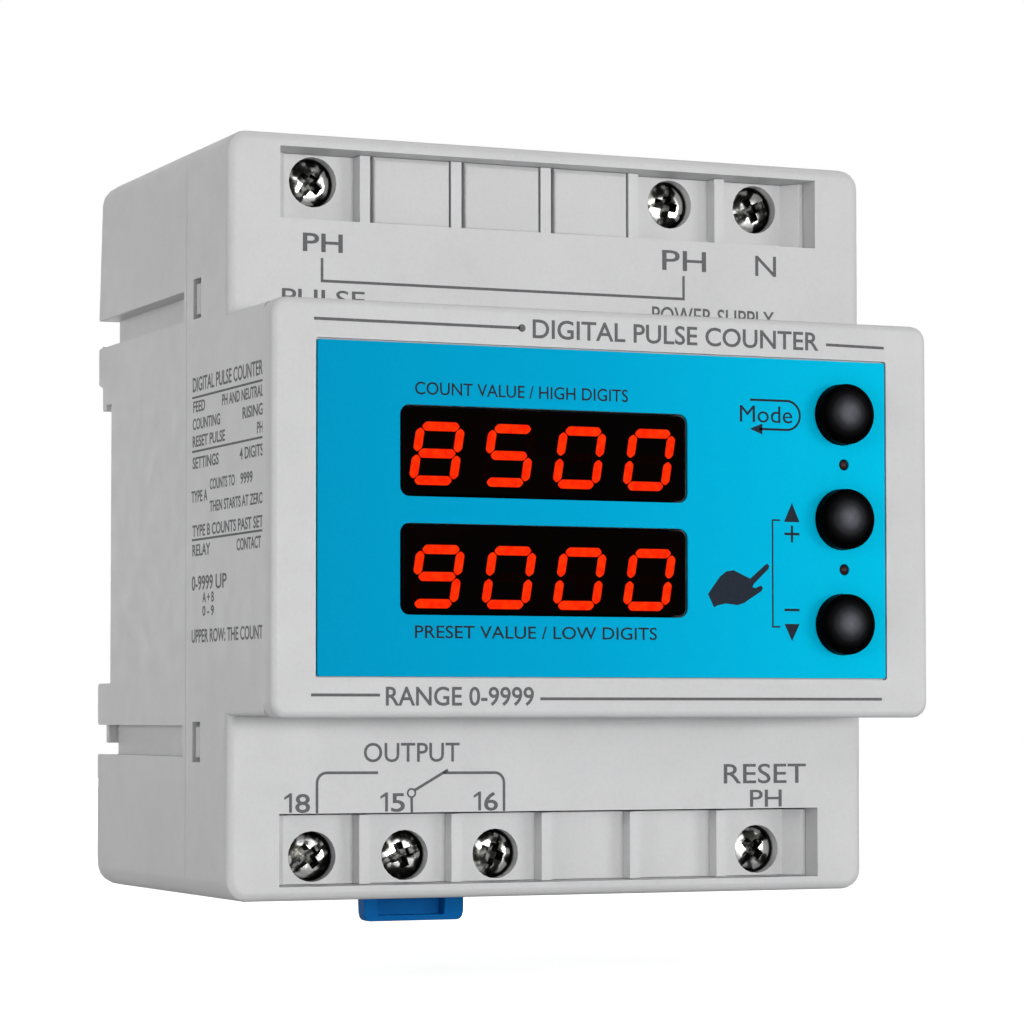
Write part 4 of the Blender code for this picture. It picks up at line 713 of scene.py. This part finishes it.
levelBar = segmentBar(digit["width"] - digit["stroke"] - digit["gap"])
uprightBar = segmentBar((digit["height"] - digit["stroke"]) / 2 - digit["gap"])
uprightBar.data.transform(Matrix.Rotation(math.pi / 2, 4, "Y"))
lit, dark = [], []
for number, base in shownNumbers.items():
    for index, symbol in enumerate(number):
        left = digit["left"] + digit["pitch"] * index
        lit += digitBars(symbol, left, base, True)
        dark += digitBars(symbol, left, base, False)
for name, bars, look in (("litDigits", lit, litSegment), ("unlitSegments", dark, darkSegment)):
    addPiece(joinAll(bars, name), look, "housing", "smoked_window")
for bar in (levelBar, uprightBar):
    bpy.data.objects.remove(bar)
print("digits made")


# Printing: flat shapes a hundredth of a millimetre thick, drawn as across and height on a face of the counter

printing = {"thickness": 0.012, "capHeight": 0.73}  # capHeight is the height of a capital at text size 1
frontTurn = Matrix.Rotation(math.pi / 2, 4, "X")
leftTurn = Matrix.Rotation(-math.pi / 2, 4, "Z") @ frontTurn
lidFace = (frontTurn, at(0, 0, lidDepth))
shoulderFace = (frontTurn, at(0, 0, shoulderDepth))
sideFace = (leftTurn, at(sideX, 0, 0))  # across is the depth here


def meshOf(thing):
    pickOnly(thing)
    bpy.ops.object.convert(target="MESH")
    return bpy.context.object


def layOn(place, made):
    turn, origin = place
    made.data.transform(turn)
    made.data.transform(Matrix.Translation(origin))
    return made


def flatShape(place, outlines):
    shape = bpy.data.curves.new("mark", "CURVE")
    shape.dimensions = "2D"
    shape.fill_mode = "BOTH"
    shape.extrude = printing["thickness"] * mm
    for outline in outlines:
        line = shape.splines.new("POLY")
        line.points.add(len(outline) - 1)
        for point, (u, v) in zip(line.points, outline):
            point.co = (u * mm, v * mm, 0, 1)
        line.use_cyclic_u = True
    made = bpy.data.objects.new("mark", shape)
    bpy.context.scene.collection.objects.link(made)
    return layOn(place, meshOf(made))


def stroke(points, width):  # the outline of a bent line
    left, right = [], []
    for index, point in enumerate(points):
        here = Vector(point)
        before = (here - Vector(points[index - 1])).normalized() if index else None
        after = (Vector(points[index + 1]) - here).normalized() if index < len(points) - 1 else None
        along = (before + after).normalized() if before and after else before or after
        side = Vector((-along.y, along.x))
        nearer = before or after
        reach = width / 2 / max(0.4, side.dot(Vector((-nearer.y, nearer.x))))
        left.append(tuple(here + side * reach))
        right.append(tuple(here - side * reach))
    return left + right[::-1]


def arc(centre, radius, start, end, steps):
    turns = [math.radians(start + (end - start) * step / steps) for step in range(steps + 1)]
    return [(centre[0] + radius * math.cos(turn), centre[1] + radius * math.sin(turn)) for turn in turns]


def disc(centre, radius):
    return arc(centre, radius, 0, 345, 23)


def words(place, text, left, right, foot, tall, weight):
    deselectAll()
    bpy.ops.object.text_add()
    made = bpy.context.object
    made.data.body = text
    made.data.size = tall / printing["capHeight"] * mm
    made.data.extrude = printing["thickness"] * mm
    made.data.offset = weight * mm
    made.data.resolution_u = 4
    bpy.context.view_layer.update()
    squeeze = (right - left) * mm / made.dimensions.x
    made = meshOf(made)
    lowest = min(vert.co.x for vert in made.data.vertices)
    made.data.transform(Matrix.Translation((-lowest, 0, 0)))
    made.data.transform(Matrix.Diagonal((squeeze, 1, 1, 1)))
    made.data.transform(Matrix.Translation((left * mm, foot * mm, 0)))
    return layOn(place, made)


def printPiece(name, look, place, rows, lines, solids):
    # Rows of words (text, from, to, foot, letter height, added weight), lines (points, width) and filled shapes
    parts = [words(place, *row) for row in rows]
    parts += [flatShape(place, [stroke(points, width)]) for points, width in lines]
    parts += [flatShape(place, outlines) for outlines in solids]
    addPiece(joinAll(parts, name), look, "housing", None)


# Marks on the label: the mode button's turning arrow, plus and minus with their arrows, and a pointing hand
labelLine = {"arrow": 0.27, "sign": 0.3, "bracket": 0.2}
arrowBend = arc((22.9, 57.275), 1.725, 80, -80, 12)
turningArrow = [(17.96, 59.0), (22.9, 59.0)] + arrowBend + [(22.9, 55.55), (19.2, 55.55)]
hand = [(12.31, 35.85), (13.9, 37.95), (14.75, 38.55), (15.7, 38.72), (17.2, 38.05), (17.9, 37.75), (19.9, 39.42),
        (20.2, 39.55), (20.45, 39.3), (20.35, 38.95), (18.35, 37.1), (18.2, 36.75), (18.6, 36.65), (19.35, 36.95),
        (19.6, 36.7), (19.4, 36.3), (18.2, 35.55), (17.1, 34.85), (16.2, 34.6), (14.6, 34.75), (13.5, 34.5),
        (13.1, 34.3)]
labelWords = [
    ("Mode", 16.6, 23.6, 56.35, 2.1, 0),
    ("COUNT VALUE / HIGH DIGITS", -24.85, 1.96, 58.17, 1.5, 0.012),
    ("PRESET VALUE / LOW DIGITS", -24.85, 5.64, 30.4, 1.5, 0.012),
]
labelLines = [
    (turningArrow, labelLine["arrow"]),
    ([(22.5, 43.15), (24.5, 43.15)], labelLine["sign"]),
    ([(23.5, 42.15), (23.5, 43.0)], labelLine["sign"]),
    ([(23.5, 43.3), (23.5, 44.15)], labelLine["sign"]),
    ([(22.46, 34.1), (24.47, 34.1)], labelLine["sign"]),
    ([(21.9, 44.76), (20.9, 44.76), (20.9, 32.08), (21.9, 32.08)], labelLine["bracket"]),
]
labelSolids = [
    [[(17.9, 55.55), (19.6, 56.2), (19.6, 54.9)]],
    [[(22.44, 44.57), (24.52, 44.57), (23.5, 46.85)]],
    [[(22.45, 32.43), (23.45, 30.41), (24.5, 32.43)]],
    [hand],
]
printPiece("labelPrint", darkInk, lidFace, labelWords, labelLines, labelSolids)

# Rules and words on the lid round the label
lidWords = [
    ("DIGITAL PULSE COUNTER", -10.2, 27.2, 65.2, 2.25, 0.04),
    ("RANGE 0-9999", -28.4, -10.1, 22.75, 2.2, 0.04),
]
rules = [
    [(-37.1, 66.3), (-11.8, 66.27)],
    [(28.2, 65.95), (36.1, 65.85)],
    [(-37.4, 23.9), (-29.1, 23.9)],
    [(-9.3, 23.5), (35.6, 23.5)],
]
lidLine = {"width": 0.34, "dot": 0.45}
printPiece("lidPrint", printInk, lidFace, lidWords, [(rule, lidLine["width"]) for rule in rules],
           [[disc((-11.55, 66.27), lidLine["dot"])]])


def figureOne(right, foot, tall):  # a figure one with its flag, its stem ending at right
    stem, flag = 0.16 * tall, 0.42 * tall
    return [(right - stem, foot), (right, foot), (right, foot + tall), (right - stem * 0.7, foot + tall),
            (right - flag, foot + tall * 0.80), (right - flag, foot + tall * 0.66),
            (right - stem, foot + tall * 0.80)]


# Terminal marks and wiring signs on the two shoulders; a number is its last figure, from, to, and the end of
# the one before it
terminalNumber = {"foot": 10.3, "tall": 2.25, "weight": 0.04}
numbers = [("8", -33.45, -31.6, -33.85), ("5", -21.45, -19.7, -21.85), ("6", -9.55, -7.75, -9.95)]
shoulderWords = [
    ("PH", -32.6, -27.6, 76.1, 2.25, 0.04),
    ("PH", 14.2, 20.2, 76.15, 2.6, 0.02),
    ("N", 27.0, 29.9, 76.0, 2.7, 0),
    ("PULSE", -35.2, -24.8, 69.6, 2.1, 0.02),
    ("POWER SUPPLY", 12.8, 29.6, 69.6, 2.1, 0.03),
    ("OUTPUT", -24.9, -12.7, 16.15, 2.35, 0.02),
    ("RESET", 22.4, 33.8, 13.25, 2.5, 0.02),
    ("PH", 26.0, 30.4, 10.35, 2.2, 0.02),
]
shoulderWords += [(text, left, right, *terminalNumber.values()) for text, left, right, oneRight in numbers]
switchRing = {"centre": (-18.86, 12.45), "outside": 0.6, "inside": 0.38}
wiringWidth = 0.33
wiring = [
    [(-30.2, 75.35), (-30.2, 72.65), (17.1, 72.67), (17.1, 75.5)],
    [(-30.75, 10.2), (-30.75, 13.7)] + arc((-29.55, 13.7), 1.2, 165, 105, 4) + [(-29.5, 14.9), (-23.1, 14.87)],
    [(-14.75, 14.8), (-8.1, 14.78)] + arc((-8.15, 13.6), 1.18, 75, 15, 4) + [(-6.97, 13.5), (-6.97, 10.2)],
    [(-18.82, 10.1), (-18.85, 11.92)],
    [(-18.5, 12.75), (-14.2, 15.15)],
]
shoulderSolids = [[figureOne(oneRight, terminalNumber["foot"], terminalNumber["tall"])]
                  for text, left, right, oneRight in numbers]
shoulderSolids.append([disc(switchRing["centre"], switchRing[edge]) for edge in ("outside", "inside")])
printPiece("terminalPrint", printInk, shoulderFace, shoulderWords, [(points, wiringWidth) for points in wiring],
           shoulderSolids)

# Rows of plain words on the left side, with three rules between them
sideWeight, sideRule = 0.035, 0.26
sideRows = [
    ("DIGITAL PULSE COUNTER", 38.4, 63.4, 60.2, 1.75),
    ("FEED", 38.6, 43.0, 57.75, 1.35),
    ("PH AND NEUTRAL", 49.2, 63.6, 57.75, 1.35),
    ("COUNTING", 38.4, 48.5, 55.65, 1.35),
    ("RISING", 56.5, 63.5, 55.65, 1.35),
    ("RESET PULSE", 38.4, 50.3, 53.6, 1.35),
    ("PH", 61.5, 63.5, 53.6, 1.35),
    ("SETTINGS", 38.4, 48.0, 51.0, 1.4),
    ("4 DIGITS", 55.5, 63.6, 51.0, 1.4),
    ("COUNTS TO", 44.8, 53.8, 48.2, 1.3),
    ("9999", 55.8, 60.0, 48.2, 1.3),
    ("TYPE A", 38.0, 43.9, 47.0, 1.4),
    ("THEN STARTS AT ZERO", 44.8, 63.6, 45.6, 1.3),
    ("TYPE B COUNTS PAST SET", 38.4, 63.6, 42.9, 1.4),
    ("RELAY", 38.4, 45.0, 40.6, 1.4),
    ("CONTACT", 54.5, 62.9, 40.6, 1.4),
    ("0-9999", 38.2, 46.0, 36.5, 1.75),
    ("UP", 47.0, 51.0, 36.5, 1.75),
    ("A + B", 42.2, 46.4, 35.0, 1.2),
    ("0 - 9", 42.2, 46.4, 33.4, 1.2),
    ("UPPER ROW: THE COUNT", 38.2, 63.6, 30.3, 1.6),
]
sideWords = [(*row, sideWeight) for row in sideRows]
sideLines = [([(38.2, height), (63.8, height)], sideRule) for height in (59.5, 53.05, 42.5)]
printPiece("sidePrint", printInk, sideFace, sideWords, sideLines, [])
print("printing done")


# Floor, light and camera, with places and lengths in metres

studio = {"clipTravel": 0.0043, "floorSize": 6, "floorTone": 0.82, "floorGlow": 0.74, "light": 0.23, "backdrop": 1.0}


def mixShaders(tree, factor, first, second):
    made = tree.nodes.new("ShaderNodeMixShader")
    for socket, source in zip(made.inputs, (factor, first, second)):
        tree.links.new(source, socket)
    return made.outputs[0]


def addTogether(tree, first, second):
    made = tree.nodes.new("ShaderNodeMath")
    made.operation = "ADD"
    tree.links.new(first, made.inputs[0])
    tree.links.new(second, made.inputs[1])
    return made


# The floor lies below the rail clip when it's pulled, and glows only where the camera sees it
deselectAll()
bpy.ops.mesh.primitive_plane_add(size=studio["floorSize"], location=(0, 0, cadBounds[0][2] - studio["clipTravel"]))
floor = bpy.context.object
floor.name = "floor"
settlePlace(floor)
floorLook = newLook("paleFloor", grey(studio["floorTone"]), 0.9)
tree = floorLook.node_tree
matt = tree.nodes["Principled BSDF"].outputs[0]
glow = tree.nodes.new("ShaderNodeEmission")
glow.inputs["Strength"].default_value = studio["floorGlow"]
bright = tree.nodes.new("ShaderNodeAddShader")
tree.links.new(matt, bright.inputs[0])
tree.links.new(glow.outputs[0], bright.inputs[1])
rays = tree.nodes.new("ShaderNodeLightPath").outputs
surface = mixShaders(tree, rays["Is Camera Ray"], matt, bright.outputs[0])
tree.links.new(surface, tree.nodes["Material Output"].inputs["Surface"])
dress(floor, floorLook)

# The world is white to the camera, to reflections and through glass, and dimmer as a light
world = bpy.data.worlds.new("studio")
bpy.context.scene.world = world
world.use_nodes = True
tree = world.node_tree
plain, pale = tree.nodes["Background"], tree.nodes.new("ShaderNodeBackground")
for backdrop, strength in ((plain, studio["light"]), (pale, studio["backdrop"])):
    backdrop.inputs["Color"].default_value = (1, 1, 1, 1)
    backdrop.inputs["Strength"].default_value = strength
rays = tree.nodes.new("ShaderNodeLightPath").outputs
shines = addTogether(tree, rays["Is Glossy Ray"], rays["Is Transmission Ray"])
seen = addTogether(tree, rays["Is Camera Ray"], shines.outputs[0])
seen.use_clamp = True
surface = mixShaders(tree, seen.outputs[0], plain.outputs[0], pale.outputs[0])
tree.links.new(surface, tree.nodes["World Output"].inputs["Surface"])

studioLights = {  # all aim at the middle of the rail seat
    "frontLight": {"place": (0.12, -1.65, 0.02), "width": 0.5, "height": 0.2, "power": 10.5},
    "sideLight": {"place": (1.15, -1.25, 0.04), "width": 0.7, "height": 0.25, "power": 6.8},
    "fillLight": {"place": (-0.9, -0.35, 0.06), "width": 0.6, "height": 0.2, "power": 2.2},
    "topLight": {"place": (0.0, 0.1, 0.9), "width": 0.7, "height": 0.7, "power": 1.45},
    "backLight": {"place": (0.25, 1.35, 0.06), "width": 0.8, "height": 0.2, "power": 8.0},
}
for name, facts in studioLights.items():
    light = bpy.data.lights.new(name, "AREA")
    light.shape = "RECTANGLE"
    light.size = facts["width"]
    light.size_y = facts["height"]
    light.energy = facts["power"]
    made = bpy.data.objects.new(name, light)
    bpy.context.scene.collection.objects.link(made)
    made.location = facts["place"]
    made.rotation_euler = (-Vector(facts["place"])).to_track_quat("-Z", "Y").to_euler()

view = {"place": (-0.176098, -0.438658, -0.022206), "yaw": 23.3988, "tilt": 2.3105, "roll": -0.0523,
        "lens": 125.58, "sensor": 36, "shiftX": 0.00285, "shiftY": 0.05957, "nearest": 0.01}
camera = bpy.data.cameras.new("camera")
camera.sensor_width = view["sensor"]
camera.lens = view["lens"]
camera.shift_x = view["shiftX"]
camera.shift_y = view["shiftY"]
camera.clip_start = view["nearest"]
cameraHolder = bpy.data.objects.new("camera", camera)
bpy.context.scene.collection.objects.link(cameraHolder)
turn = Matrix.Rotation(math.radians(-view["yaw"]), 4, "Z")
turn = turn @ Matrix.Rotation(math.radians(90 + view["tilt"]), 4, "X")
turn = turn @ Matrix.Rotation(math.radians(view["roll"]), 4, "Z")
cameraHolder.matrix_world = Matrix.Translation(view["place"]) @ turn
bpy.context.scene.camera = cameraHolder
bpy.context.scene.view_settings.view_transform = "Standard"
print("floor, light and camera set")

bpy.context.view_layer.update()
